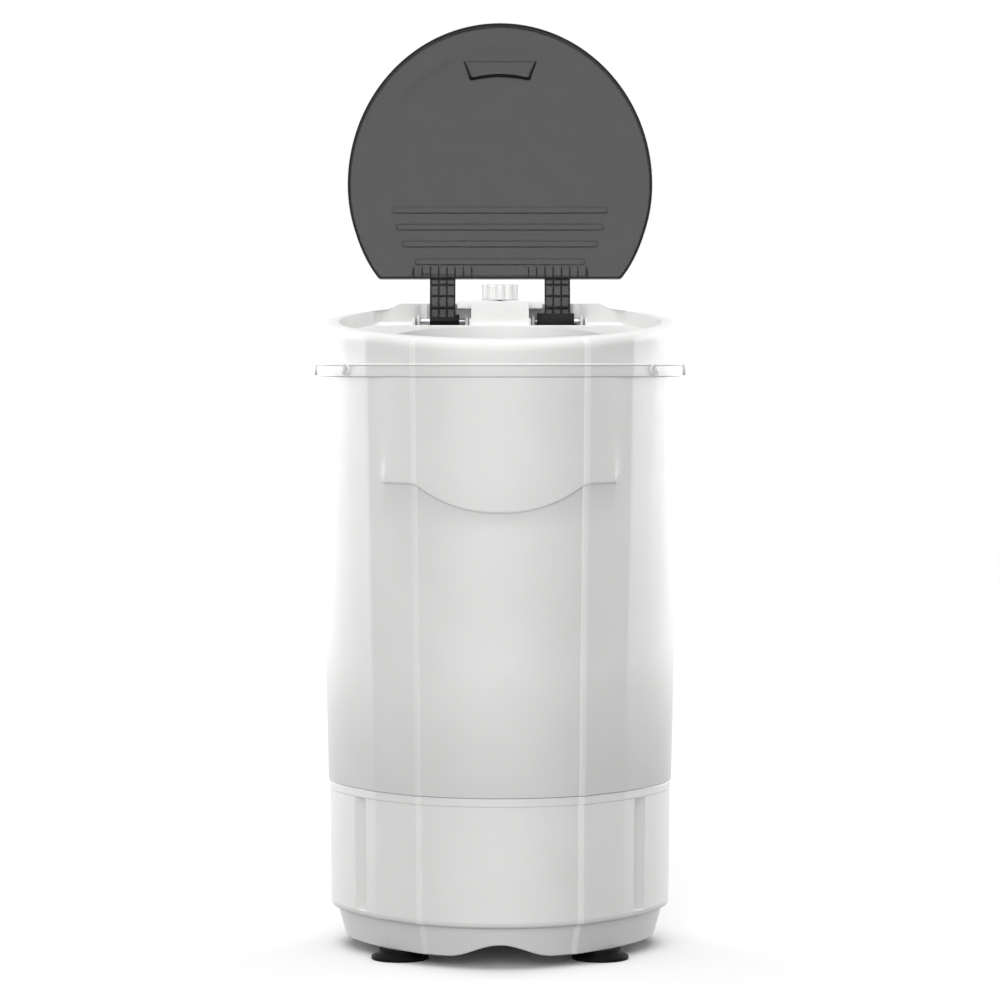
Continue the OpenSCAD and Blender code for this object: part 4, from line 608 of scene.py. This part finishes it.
def body_ring(z, proud):
    """A level ring of the body, moved outwards by proud."""
    return [body_point(x, y, z, proud) for x, y in OUTLINE]


def body_shell():
    """Body with the bowed panel, its facets and the raised bib, thick as the moulding is."""
    top, lip = SKIRT_Z - 0.4, SKIRT_Z + BODY_LIP
    rings = [body_ring(z, proud) for z, proud in
             ((SEAM_Z, -1), (SEAM_Z + 0.3, -0.3), (SEAM_Z + 1, 0), (SEAM_Z + 130, 0), (430, 0))]
    for rise, share in ((-1.3, 0), (-0.7, 0.12), (0.3, 0.75), (1.1, 0.97), (2, 1)):
        proud = BIB_PROUD * share
        rings.append([body_point(x, y, bib_edge(x, y) + rise, proud * bib_share(x, y, BIB_HIGH_Z))
                      for x, y in OUTLINE])
    for z in (484, 492, 500, 510, 522, 550, top):
        rings.append([body_point(x, y, z, BIB_PROUD * bib_share(x, y, z)) for x, y in OUTLINE])
    rings += [body_ring(z, proud) for z, proud in
              ((top, -1.4), (lip, -1.5), (lip, -4), (top - 8, -4), (SEAM_Z, -WALL))]
    return loft("body_panel", [*rings, rings[0]])


# ---- Top cover -----------------------------------------------------------------------


def deck_z(y):
    """Height of the lid's sloping seat."""
    return HINGE_Z - (HINGE_Y - y) * SLOPE


def hump_share(x, y):
    """How much of the rear hump there is at a point: 0 on the sides and the front."""
    return smooth((HUMP_HALF - abs(x)) / HUMP_FADE) if y > HUMP_Y else 0


def rim_top(x, y):
    """Height of the rim: it slopes down to the front and has a level hump at the back."""
    slope_top = RIM_Z + SLOPE * y
    if y <= HUMP_Y:
        return slope_top
    return max(slope_top, HUMP_Z - HUMP_FALL * (1 - hump_share(x, y)))


def rim_ring(k, count):
    """Level k of the rim's rounding, tighter at the hump."""
    turn = math.pi / 2 * k / count
    points = []
    for x, y in OUTLINE:
        px, py = x * COVER_W / SEAM_W, y * COVER_D / SEAM_D
        hump = hump_share(px, py)
        size = RIM_ROUND + (HUMP_ROUND - RIM_ROUND) * hump
        inset = 2 * size * (1 - math.cos(turn))
        width, depth = COVER_W - inset, COVER_D - inset
        px, py = x * width / SEAM_W, y * depth / SEAM_D
        a = math.atan2(py / depth, px / width)
        roundness = 0.5 * k / count * (1 - hump) * smooth((90 - py) / 40)
        px += (width / 2 * math.cos(a) - px) * roundness
        py += (depth / 2 * math.sin(a) - py) * roundness
        points.append((px, py, rim_top(px, py) - size * (1 - math.sin(turn))))
    return points


def back_swell(behind):
    """How much further out the lid and its recess stand at a distance behind the lid's middle."""
    return LID_SWELL * smooth((behind - SWELL_FROM) / SWELL_OVER)


def recess_edge(x, y, grow):
    """Edge of the lid's recess beside a point of the outline, and if it lies behind the lid."""
    rx, ry = x * LEDGE_W / SEAM_W, y * LEDGE_D / SEAM_D
    if ry > LEDGE_LINE:
        out = 1 + grow / math.hypot(rx, ry)
        return rx * out, ry * out, True
    middle = CHORD_Y - LID_BACK * math.cos(math.radians(DECK_SLOPE))
    across = LID_R + LID_GAP + grow
    along = LID_FRONT * math.cos(math.radians(DECK_SLOPE)) + LID_GAP + grow if ry < middle else across
    a = math.atan2((y - middle) / SEAM_D, x / SEAM_W)
    swell = back_swell(across * math.sin(a))
    return (across + swell) * math.cos(a), middle + (along + swell) * math.sin(a), False


def floor_rows(lowered):
    """From the recess's edge over ledge and deck to the opening, lowered by the wall for the underside."""
    rows = [[], [], [], []]
    for x, y in OUTLINE:
        ex, ey, behind = recess_edge(x, y, -RECESS_FOOT)
        a = math.atan2(ey - MOUTH_Y, ex)
        reach = MOUTH_R + (WALL if lowered else 1.4)
        mx, my = reach * math.cos(a), MOUTH_Y + reach * math.sin(a)
        if behind:
            cross = (ey - LEDGE_LINE) / (ey - my)
            shares = [0, max(cross - 0.004, 0), cross + 0.004, 1]
        else:
            shares = [0, 0.004, 0.008, 1]
        for row, f in zip(rows, shares):
            px, py = ex + (mx - ex) * f, ey + (my - ey) * f
            on_ledge = behind and py > LEDGE_LINE
            row.append((px, py, (LEDGE_Z if on_ledge else deck_z(py)) - lowered))
    return rows


def mouth_ring(r, drop=None, z=None):
    """A ring of the opening, at a depth below the deck or at a height."""
    points = []
    for x, y in OUTLINE:
        ex, ey, _ = recess_edge(x, y, -RECESS_FOOT)
        a = math.atan2(ey - MOUTH_Y, ex)
        px, py = r * math.cos(a), MOUTH_Y + r * math.sin(a)
        points.append((px, py, deck_z(py) - drop if z is None else z))
    return points


def recess_wall(grow, rise=None, drop=None):
    """A ring of the recess's wall, measured up from its floor or down from the rim."""
    points = []
    for x, y in OUTLINE:
        px, py, behind = recess_edge(x, y, grow)
        floor = LEDGE_Z if behind else deck_z(py)
        points.append((px, py, floor + rise if drop is None else rim_top(px, py) - drop))
    return points


def cover_ring(grow, z):
    """A ring of the cover's skirt, wider by grow."""
    return ring(COVER_W + grow, COVER_D + grow, z)


def cover_moulding():
    """Skirt, bead, rounded rim, recess, sloping deck and the collar of the opening, in one piece."""
    skirt = ((-1, 0), (-0.2, 0.3), (0, 0.9), (0, 10.5), (0.9, 10.9), (2, 11.5), (2, 12), (0.9, 12.6),
             (0, 13), (0, 17))
    rings = [cover_ring(grow, SKIRT_Z + rise) for grow, rise in skirt]
    rings += [rim_ring(k, 8) for k in range(9)]
    rings += [recess_wall(0.8, drop=0), recess_wall(0.2, drop=0.2), recess_wall(0, drop=0.8),
              recess_wall(0, rise=RECESS_FOOT), recess_wall(-0.3, rise=0.2)]
    rings += floor_rows(0)
    rings += [mouth_ring(MOUTH_R + 0.4, drop=0.4), mouth_ring(MOUTH_R, drop=1.4),
              mouth_ring(MOUTH_R, z=MOUTH_LOW_Z + 0.8), mouth_ring(MOUTH_R + 0.8, z=MOUTH_LOW_Z),
              mouth_ring(MOUTH_R + 2.2, z=MOUTH_LOW_Z), mouth_ring(MOUTH_R + WALL, z=MOUTH_LOW_Z + 0.8)]
    rings += reversed(floor_rows(WALL))
    inside = -2 * WALL
    rings.append([(x, y, deck_z(min(y, LEDGE_LINE)) - WALL) for x, y, _ in cover_ring(inside, 0)])
    rings += [cover_ring(inside, SKIRT_Z + 1), cover_ring(inside + 1, SKIRT_Z), rings[0]]
    return loft("top_cover_moulding", rings)


def pocket_box(name, side, grow, top, radius):
    """A box as large as a hinge pocket, or larger by grow."""
    middle = side * ARM_X
    return block(name, (middle - POCKET_HALF - grow, CHORD_Y - 6 - grow, POCKET_FLOOR_Z - grow),
                 (middle + POCKET_HALF + grow, POCKET_BACK + grow, top), radius)


def pocket_liner(side):
    """The open-topped box that a hinge bracket stands in, with low walls over the ledge."""
    outer = pocket_box("hinge_pocket", side, 2, LEDGE_Z + 4, 0.5)
    inner = pocket_box("pocket_space", side, 0, LEDGE_Z + 30, 0.4)
    slope_cut = block("slope_cut", (side * ARM_X - 60, 0, deck_z(CHORD_Y)),
                      (side * ARM_X + 60, CHORD_Y + 5, LEDGE_Z + 30), 0)
    return carve(outer, [slope_cut, inner])


def console():
    """Raised pad that carries the timer, with cut corners, on the block that joins it to the hump."""
    pad = block("console", (-CONSOLE_HALF, CONSOLE_FRONT, LEDGE_Z - 6),
                (CONSOLE_HALF, CONSOLE_BACK, CONSOLE_Z), 0)
    only(pad)
    bpy.ops.object.mode_set(mode="EDIT")
    bpy.ops.mesh.select_mode(type="EDGE")
    bpy.ops.mesh.select_all(action="DESELECT")
    bpy.ops.object.mode_set(mode="OBJECT")
    for edge in pad.data.edges:
        a, b = (pad.data.vertices[k].co for k in edge.vertices)
        upright = abs(a.x - b.x) < 1e-6 and abs(a.y - b.y) < 1e-6
        edge.select = upright and a.y < (CONSOLE_FRONT + 1) * MM
    bpy.ops.object.mode_set(mode="EDIT")
    bpy.ops.mesh.bevel(offset=CONSOLE_CUT * MM, segments=1)
    bpy.ops.object.mode_set(mode="OBJECT")
    rounded(pad, 1.2, 3)
    back = block("console_back", (-CONSOLE_HALF - 1, CONSOLE_BACK - 12, LEDGE_Z - 6),
                 (CONSOLE_HALF + 1, COVER_D / 2 - 5, HUMP_Z - 0.02), 0.8, 3)
    carve(pad, [back], "UNION")
    carve(pad, [pocket_box("pocket_space", side, 1.9, CONSOLE_Z + 5, 0) for side in (-1, 1)])
    roof = block("roof", (-CONSOLE_HALF, HINGE_Y - 17, HINGE_Z + 13),
                 (CONSOLE_HALF, CONSOLE_BACK, CONSOLE_Z), 1.2, 3)
    return carve(pad, [roof], "UNION")


def boss_places():
    """Where the six bosses stand on the skirt, and which way each looks."""
    share = BOSS_Y / (FACET_Y * COVER_D / SEAM_D)
    x = side_x(share) * COVER_W / SEAM_W
    for side in (-1, 1):
        yield Vector((side * COVER_W / 2, 0, BOSS_Z)), Vector((side, 0, 0))
        for end in (-1, 1):
            yield Vector((side * x, end * BOSS_Y, BOSS_Z)), Vector((0.7 * side, 0.714 * end, 0))


def skirt_bosses():
    """Screw bosses that stand out of the skirt, with a dished seat for each screw."""
    bosses = []
    for at, out in boss_places():
        boss = rod("boss", at - 6 * out, at + BOSS_OUT * out, BOSS_R, 48, 0.9)
        seat = rod("boss_seat", at + (BOSS_OUT - 0.6) * out, at + (BOSS_OUT + 2) * out, BOSS_R - 1.7, 48)
        bosses.append(carve(boss, [seat]))
    return joined("skirt_bosses", bosses)


def skirt_screws():
    """Domed cross-head screws in the bosses."""
    screws = []
    for at, out in boss_places():
        across = Vector((-out.y, out.x, 0))
        face = at + (BOSS_OUT - 0.6) * out
        head = rod("screw", face - 3 * out, face + 1.2 * out, 3.1, 32, 0.6)
        slots = []
        for along in (across, Vector((0, 0, 1))):
            other = across.cross(out) if along == across else across
            corners = [face + 0.5 * out + a * along + b * other for a, b in
                       ((-2, -0.45), (2, -0.45), (2, 0.45), (-2, 0.45))]
            slots.append(prism("slot", corners, 2 * out))
        screws.append(carve(head, slots))
    return joined("cover_screw_heads", screws)


def knob():
    """Timer knob with lobes, a soft top edge and a raised pointer."""
    sides = 20 * KNOB_LOBES

    def reach(a, shrink):
        wave = abs(math.sin(KNOB_LOBES * a / 2))
        return KNOB_R - KNOB_FLUTE * (1 - wave) ** 1.6 - shrink - 0.05

    turns = [2 * math.pi * (k + 0.5) / sides for k in range(sides)]
    levels = [(14, 5), (14, 0.6), (3, 0.1), (0.9, 0.1), (0.25, 0.35), (0, 1), (0.3, KNOB_H - 2.6),
              (0.6, KNOB_H - 1.4), (1.3, KNOB_H - 0.5), (2.4, KNOB_H - 0.1), (3.2, KNOB_H)]
    rings = [[(reach(a, shrink) * math.cos(a), KNOB_Y + reach(a, shrink) * math.sin(a), KNOB_Z + z)
              for a in turns] for shrink, z in levels]
    cap = loft("knob_cap", rings, 40)
    pointer = block("knob_pointer", (-1.1, KNOB_Y - 15, KNOB_Z + KNOB_H - 0.5),
                    (1.1, KNOB_Y - 3, KNOB_Z + KNOB_H), 0.4)
    return joined("timer_knob_cap", [cap, pointer])


# ---- Lid -----------------------------------------------------------------------------


def lid_point(x, u, w):
    """A point of the open lid: x across, u up along it from the hinge axis, w out of its outer face."""
    s, c = math.sin(math.radians(LID_LEAN)), math.cos(math.radians(LID_LEAN))
    return x, HINGE_Y + u * s + w * c, HINGE_Z + u * c - w * s


def lid_ring(grow, w, low):
    """The lid's outline, grown, at a level: an ellipse in front, a circle behind and a straight edge.

    The straight edge moves out by low instead, unless low is None.
    """
    middle = ARM_REACH + LID_BACK
    r, b = LID_R + grow, LID_FRONT + grow
    back = LID_BACK + (grow if low is None else low)
    side = []
    for a in steps(math.asin((back - 3) / r), 0, 14):
        reach = r + back_swell(r * math.sin(a))
        side.append((reach * math.cos(a), middle - r * math.sin(a)))
    x, u = side[0]
    side = [(x - 4.4, u - 3), (x - 2.8, u - 2.7), (x - 1.2, u - 1.6)] + side
    front = [(r * math.cos(a), middle + b * math.sin(a)) for a in steps(0, math.pi, 72)[1:-1]]
    return [lid_point(x, u, w) for x, u in side + front + [(-x, u) for x, u in reversed(side)]]


def grip_outline(grow, w):
    """The grip's outline: slanted ends and a lower edge that arches up in the middle."""
    low = GRIP_TOP - GRIP_W - grow
    end = GRIP_HALF - 7 + grow
    arched = [(x, low + 4 * (1 - (x / end) ** 2)) for x in steps(-end + 3, end - 3, 12)]
    corner = [(GRIP_HALF + grow, GRIP_TOP + grow), (end + 0.8, low + 2.2), (end - 0.6, low + 0.6)]
    points = [(-x, u) for x, u in corner] + arched + corner[::-1]
    return [lid_point(x, u, w) for x, u in points]


def pill(u, half, w):
    """Outline of a bar with round ends."""
    r = BAR_W / 2
    right = [(half - r + r * math.cos(a), u + r * math.sin(a))
             for a in steps(-math.pi / 2, math.pi / 2, 12)]
    return [lid_point(x, v, w) for x, v in right + [(-x, 2 * u - v) for x, v in right]]


def lid_normal(length):
    """A step of that length out of the lid's outer face."""
    return tuple(b - a for a, b in zip(lid_point(0, 0, 0), lid_point(0, 0, length)))


def darkened(obj, is_dark):
    """Faces that the test picks get the near-black finish, used both for thick smoked plastic seen edge on
    and as painted shade.
    """
    obj.data.materials.append(FINISH["smoked_lid"])
    obj.data.materials.append(DARK_SMOKED)
    start = Vector(lid_point(0, 0, 0))
    axes = [Vector(lid_point(*p)) - start for p in ((1, 0, 0), (0, 1, 0), (0, 0, 1))]
    for face in obj.data.polygons:
        centre = [(face.center / MM - start).dot(axis) for axis in axes]
        facing = [face.normal.dot(axis) for axis in axes]
        face.material_index = int(is_dark(centre, facing))
    return obj


def lid_plate():
    """Smoked lid: turned-down wall, flat border, raised middle, grip cup and four shallow bars."""
    base, t = LID_TOP - LID_STEP, LID_T
    step = [(-LID_BORDER + 4 - 14 * f, LID_STEP * (0.7 * f + 0.3 * smooth(f)), -3.4 - 1.6 * f)
            for f in steps(0, 1, 8)]
    levels = [(g, base + rise, low) for g, rise, low in reversed(step)]
    levels += [(g, w, None) for g, w in
               ((-1.6, base), (-0.5, base - 0.5), (0, base - 1.6), (0, 1.5), (-0.4, 1), (-t + 0.4, 1),
                (-t, 1.5), (-t, LID_INNER - 0.6), (-t - 0.6, LID_INNER))]
    levels += [(g, LID_INNER + rise, low) for g, rise, low in step]
    plate = loft("lid_plate", [lid_ring(*level) for level in levels], 30)
    middle = LID_INNER + LID_STEP
    bars = [prism("bar", pill(ARM_REACH + u, half, middle - 1.1), lid_normal(1.5))
            for u, half in zip(BAR_U, BAR_HALF)]
    for bar in bars:
        rounded(bar, 0.9, 1)
    end = LID_TOP - GRIP_DEPTH
    cup = loft("cup", [grip_outline(t + 0.9, LID_TOP - 1), grip_outline(t - 0.5, end - t + 1),
                       grip_outline(t - 1.4, end - t)])
    carve(plate, [*bars, cup], "UNION", 30)
    hollow = loft("hollow", [grip_outline(0.9, LID_TOP + 2), grip_outline(-0.6, end + 1),
                             grip_outline(-1.4, end)])
    carve(plate, [hollow], angle=30)

    def is_dark(centre, facing):
        x, u, w = centre
        beyond = u - ARM_REACH - LID_BACK
        reach = math.hypot(x / LID_R, beyond / (LID_FRONT if beyond > 0 else LID_R))
        if u < ARM_REACH + 3 or reach > 0.97:
            at_edge = reach > 0.993 or u < ARM_REACH + 1.5
            return w < 1.8 or at_edge and abs(facing[2]) < 0.5
        # painted shade: faces of the bars and the grip cup that look down or sideways are made near-black,
        # while those that look up keep the plain smoked finish
        return w < middle + 0.3 and abs(facing[2]) < 0.9 and facing[1] < 0.5 and u < GRIP_TOP + 17.5

    return darkened(plate, is_dark)


def lid_arm(side):
    """Arm with three columns of pockets between dark ribs, on a hub with the hinge pin's bore."""
    x0 = side * ARM_X - ARM_W / 2
    end = ARM_REACH + 1.4
    under = LID_INNER - 0.05
    hub = [(HUB_R * math.cos(a), HUB_R * math.sin(a)) for a in steps(math.pi, 2 * math.pi, 16)]
    shape = hub + [(HUB_R, 17), (HUB_R + 0.5, 20), (LID_INNER - 0.4, ARM_REACH - 7),
                   (under, ARM_REACH - 3), (under, end), (2.6, end), (1.4, ARM_REACH - 5),
                   (-HUB_R + 1.4, 14), (-HUB_R, 9)]
    arm = prism("arm", [lid_point(x0, u, w) for w, u in shape], (ARM_W, 0, 0), 0.3)
    rib = 1.5
    cell = (ARM_W - 4 * rib) / 3
    rows = ((3.9, 13.7, 4.4), (15.2, 26.2, 5), (27.7, 38.4, 7.2), (39.9, 45.2, 10.2))
    cutters = []
    for column in range(3):
        left = x0 + rib + column * (cell + rib)
        for low, high, floor in rows:
            outline = [lid_point(x, u, -12) for x, u in
                       ((left, low), (left + cell, low), (left + cell, high), (left, high))]
            cutters.append(prism("pocket", outline, lid_normal(12 + floor), 0.4))
    bore = rod("bore", (x0 - 2, HINGE_Y, HINGE_Z), (x0 + ARM_W + 2, HINGE_Y, HINGE_Z), PIN_R)
    carve(arm, cutters + [bore])

    def is_dark(centre, facing):
        in_pocket = any(low < centre[1] < high and abs(centre[2] - floor) < 0.3
                        for low, high, floor in rows)
        return not (facing[2] > 0.9 and centre[1] > 3 or in_pocket and facing[2] < -0.9)

    return darkened(arm, is_dark)


def lid_ribs():
    """Short upright ribs between the lid's straight edge and the lowest bar, eight at each arm."""
    low, high = ARM_REACH + 1.6, ARM_REACH + 13
    under = LID_INNER - 0.02
    pitch, thickness = 8.7, 1.2
    ribs = []
    for side in (-1, 1):
        for k in steps(-3.5, 3.5, 7):
            x = side * ARM_X + k * pitch
            outline = [lid_point(x - thickness / 2, u, w) for w, u in
                       ((under, low), (under, high), (5, high), (3, high - 2), (3, low))]
            ribs.append(prism("rib", outline, (thickness, 0, 0), 0.2))
    obj = joined("lid_edge_ribs", ribs)
    obj.data.materials.append(DARK_SMOKED)
    return obj


def switch_cam():
    """Cam beside the left arm's hub that lowers the lid switch's plunger."""
    closing = 90 + DECK_SLOPE + LID_LEAN
    travel, low_r = 2, 8
    rate = travel / math.radians(closing)
    spiral = []
    for t in steps(0, math.radians(closing), 24):
        h, a = low_r + rate * t, t - math.radians(LID_LEAN)
        spiral.append((-h * math.sin(a) - rate * math.cos(a), -h * math.cos(a) + rate * math.sin(a)))
    hub = [(HUB_R * math.cos(a), HUB_R * math.sin(a))
           for a in steps(math.radians(170), math.radians(-60), 20)]
    x0 = -ARM_X + ARM_W / 2 + 0.02
    outline = [lid_point(x0, u, w) for w, u in reversed(hub + spiral)]
    cam = prism("lid_switch_cam", outline, (4.1, 0, 0), 0.2)
    bore = rod("bore", (x0 - 2, HINGE_Y, HINGE_Z), (x0 + 8, HINGE_Y, HINGE_Z), PIN_R)
    carve(cam, [bore])
    cam.data.materials.append(DARK_SMOKED)
    return cam


# ---- Basket --------------------------------------------------------------------------


def perforated_wall():
    """The basket's wall: one cell of sheet with a round hole, repeated round and up, then thickened."""
    around, rows, hole_r, corners = 60, 18, 2.6, 8
    low, high = BASKET_Z + BASKET_BAND, BASKET_TOP - BASKET_BAND - 2
    r = BASKET_R - BASKET_T / 2
    half_a, half_z = math.pi / around * r, (high - low) / rows / 2
    deselect()
    bpy.ops.mesh.primitive_grid_add(x_subdivisions=corners, y_subdivisions=1, size=1)
    cell = bpy.context.object
    outer = []
    inner = []
    for k in range(corners + 1):
        a = 2 * math.pi * k / corners + math.pi / 4
        square = max(abs(math.cos(a)), abs(math.sin(a)))
        outer.append((half_a * math.cos(a) / square, half_z * math.sin(a) / square))
        inner.append((hole_r * math.cos(a), hole_r * math.sin(a)))
    cell.data.vertices.foreach_set("co", [c for p in inner + outer for c in (p[0], p[1], 0)])
    apply_modifier(cell, "ARRAY", count=around, use_relative_offset=False, use_constant_offset=True,
                   constant_offset_displace=(2 * half_a, 0, 0))
    apply_modifier(cell, "ARRAY", count=rows, use_relative_offset=False, use_constant_offset=True,
                   constant_offset_displace=(0, 2 * half_z, 0))
    for vertex in cell.data.vertices:
        x, z, _ = vertex.co
        a = x / r
        vertex.co = (r * MM * math.cos(a), r * MM * math.sin(a), (low + half_z + z) * MM)
    only(cell)
    bpy.ops.object.mode_set(mode="EDIT")
    bpy.ops.mesh.select_all(action="SELECT")
    bpy.ops.mesh.remove_doubles(threshold=1e-5)
    bpy.ops.mesh.normals_make_consistent(inside=False)
    bpy.ops.object.mode_set(mode="OBJECT")
    apply_modifier(cell, "SOLIDIFY", thickness=BASKET_T * MM, offset=0)
    cell.name = "wall"
    return cell


def basket():
    """Perforated wall, plain bands above and below it, pressed floor and rolled rim."""
    out, r, m, bore = BASKET_R, BASKET_R - BASKET_T, BASKET_MOUTH_R, BASKET_BORE_R
    base, top = BASKET_Z, BASKET_TOP
    low, high = base + BASKET_BAND, top - BASKET_BAND - 2
    floor = turned("floor", [(bore, base), (out - 4, base), (out - 1.2, base + 1.2), (out, base + 4),
                             (out, low), (r, low), (r, base + 4.4), (r - 1, base + 2.2),
                             (r - 3.4, base + BASKET_T), (bore, base + BASKET_T), (bore, base)], sides=120)
    rim = turned("rim", [(out, high), (out, top - 3), (out - 1, top - 0.8), (out - 3, top), (m + 3, top),
                         (m + 0.8, top - 0.8), (m, top - 3), (m + 0.5, top - 5.2), (m + 2.4, top - 6),
                         (m + 2.8, top - 5), (m + 1.6, top - 3.4), (m + 2.2, top - 1.8),
                         (m + 4, top - BASKET_T), (r - 2.4, top - BASKET_T), (r, top - 3.6), (r, high),
                         (out, high)], sides=120)
    return joined("spin_basket_drum", [perforated_wall(), floor, rim])


# ---- Placing everything --------------------------------------------------------------

fitted(base_wall(), "cabinet", "white_shell", "base_shell", angle=12)
fitted(base_inside(), "cabinet", "white_shell")
fitted(wall_cup("spigot_well", 0, WELL_Y, WELL_Z, WELL_R, WELL_HOLE_R, WELL_FACE_Y),
       "cabinet", "white_shell", "drain_well")
fitted(wall_cup("gland_seat", GLAND_X, GLAND_Y, GLAND_Z, GLAND_SEAT_R, GLAND_HOLE_R, GLAND_FACE_Y),
       "cabinet", "white_shell")
for sx in (-1, 1):
    for sy in (-1, 1):
        place = ("right" if sx > 0 else "left") + ("_rear" if sy > 0 else "_front")
        fitted(foot("foot_" + place, sx * FOOT_X, sy * FOOT_Y), "cabinet", "black_rubber", "rubber_feet")
fitted(body_shell(), "cabinet", "white_shell", "body_shell")

cover = cover_moulding()
carve(cover, [pocket_box("pocket_space", side, 1.9, LEDGE_Z + 3.9, 0.4) for side in (-1, 1)])
fitted(cover, "cabinet", "white_shell", "top_cover")
for side, place in ((-1, "left"), (1, "right")):
    liner = pocket_liner(side)
    liner.name = "hinge_pocket_" + place
    fitted(liner, "cabinet", "white_shell")
fitted(console(), "cabinet", "white_shell")
fitted(skirt_bosses(), "cabinet", "white_shell")
fitted(skirt_screws(), "cabinet", "zinc_steel", "cover_screws")
fitted(knob(), "knob", "white_knob", "timer_knob")

fitted(lid_plate(), "lid", "smoked_lid", "lid", angle=30)
for side, place in ((-1, "left"), (1, "right")):
    arm = lid_arm(side)
    arm.name = "lid_arm_" + place
    fitted(arm, "lid", "smoked_lid")
fitted(lid_ribs(), "lid", "smoked_lid")
fitted(switch_cam(), "lid", "smoked_lid")
fitted(basket(), "basket", "basket_steel", "spin_basket")


def dress(name, slot):
    """A carried-over CAD piece: its finish, and its sharp edges eased as the real part's are."""
    node = frame["nodes"][name]
    node.data.materials.clear()
    node.data.materials.append(FINISH[slot])
    if node.hide_render:
        return
    weld = node.modifiers.new("weld", "WELD")
    weld.merge_threshold = 1e-6
    ease = node.modifiers.new("ease", "BEVEL")
    ease.width = 0.25 * MM
    ease.segments = 2
    ease.limit_method = "ANGLE"
    ease.angle_limit = math.radians(40)
    only(node)
    bpy.ops.object.shade_smooth_by_angle(angle=math.radians(35))


for part in frame["record"]["subparts"]:
    dress(part["node"], part["material_slot"])

# ---- Floor, lights and camera --------------------------------------------------------


PAPER_SIZE = 12                    # metres
AMBIENT = 0.04                     # strength of the light from all round
MIX_A, MIX_B, MIX_RESULT = 6, 7, 2  # the colour sockets of a Mix node


def background_share(tree):
    """1 for rays that see the background straight, in a gloss or through something clear."""
    path = add_node(tree, "ShaderNodeLightPath")
    share = path.outputs["Is Camera Ray"]
    for ray in ("Is Glossy Ray", "Is Transmission Ray"):
        share = add_node(tree, "ShaderNodeMath", {"operation": "MAXIMUM"},
                         {0: share, 1: path.outputs[ray]}).outputs["Value"]
    return share


def pale_world():
    """White where the background is seen, and only a little light on the object."""
    world = bpy.data.worlds.new("pale_room")
    bpy.context.scene.world = world
    world.use_nodes = True
    tree = world.node_tree
    tree.nodes.clear()
    dim, white = (add_node(tree, "ShaderNodeBackground", {"Color": linear("#ffffff"), "Strength": strength})
                  for strength in (AMBIENT, 1))
    mixed = add_node(tree, "ShaderNodeMixShader", {}, {
        "Fac": background_share(tree), 1: dim.outputs["Background"], 2: white.outputs["Background"]})
    add_node(tree, "ShaderNodeOutputWorld", {}, {"Surface": mixed.outputs["Shader"]})


def pale_floor():
    """A paper sweep that takes the object's shadow; the light that it sends back up is dimmed."""
    deselect()
    bpy.ops.mesh.primitive_plane_add(size=PAPER_SIZE)
    floor = bpy.context.object
    floor.name = "studio_floor"
    paper, tree = new_finish("white_paper_sweep")
    shade = add_node(tree, "ShaderNodeMix", {"data_type": "RGBA"})
    tree.links.new(background_share(tree), shade.inputs["Factor"])
    tree.links.new(cloudy(tree, ("#808080", "#868686"), [120]), shade.inputs[MIX_A])
    shade.inputs[MIX_B].default_value = linear("#f8f8f8")
    surface(tree, {"Roughness": 0.9, "Specular IOR Level": 0}, {"Base Color": shade.outputs[MIX_RESULT]})
    floor.data.materials.append(paper)


def soft_sun(name, azimuth, elevation, strength, spread):
    """Wide light from an azimuth, 0 in front and 90 on the right, and an elevation."""
    light = bpy.data.lights.new(name, "SUN")
    light.energy = strength
    light.angle = math.radians(spread)
    lamp = bpy.data.objects.new(name, light)
    bpy.context.scene.collection.objects.link(lamp)
    a, e = math.radians(azimuth), math.radians(elevation)
    towards = Vector((math.sin(a) * math.cos(e), -math.cos(a) * math.cos(e), math.sin(e)))
    lamp.rotation_mode = "QUATERNION"
    lamp.rotation_quaternion = towards.to_track_quat("Z", "Y")


pale_world()
pale_floor()
soft_sun("front_softbox", azimuth=-6, elevation=20, strength=2.1, spread=56)
soft_sun("rear_softbox_right", azimuth=134, elevation=4, strength=3.3, spread=42)
soft_sun("rear_softbox_left", azimuth=-134, elevation=4, strength=3.3, spread=42)
soft_sun("overhead_softbox", azimuth=0, elevation=86, strength=2, spread=60)

# the photograph's view: from straight in front, tilted down by the pitch in degrees
CAMERA_AT, CAMERA_PITCH, CAMERA_LENS = (0, -3.794, 0.594), 2.127, 134.3
camera = bpy.data.objects.new("camera", bpy.data.cameras.new("camera"))
bpy.context.scene.collection.objects.link(camera)
camera.data.lens = CAMERA_LENS
camera.data.sensor_width = 36
camera.location = CAMERA_AT
camera.rotation_euler = (math.radians(90 - CAMERA_PITCH), 0, 0)
bpy.context.scene.camera = camera
bpy.context.scene.view_settings.view_transform = "Standard"
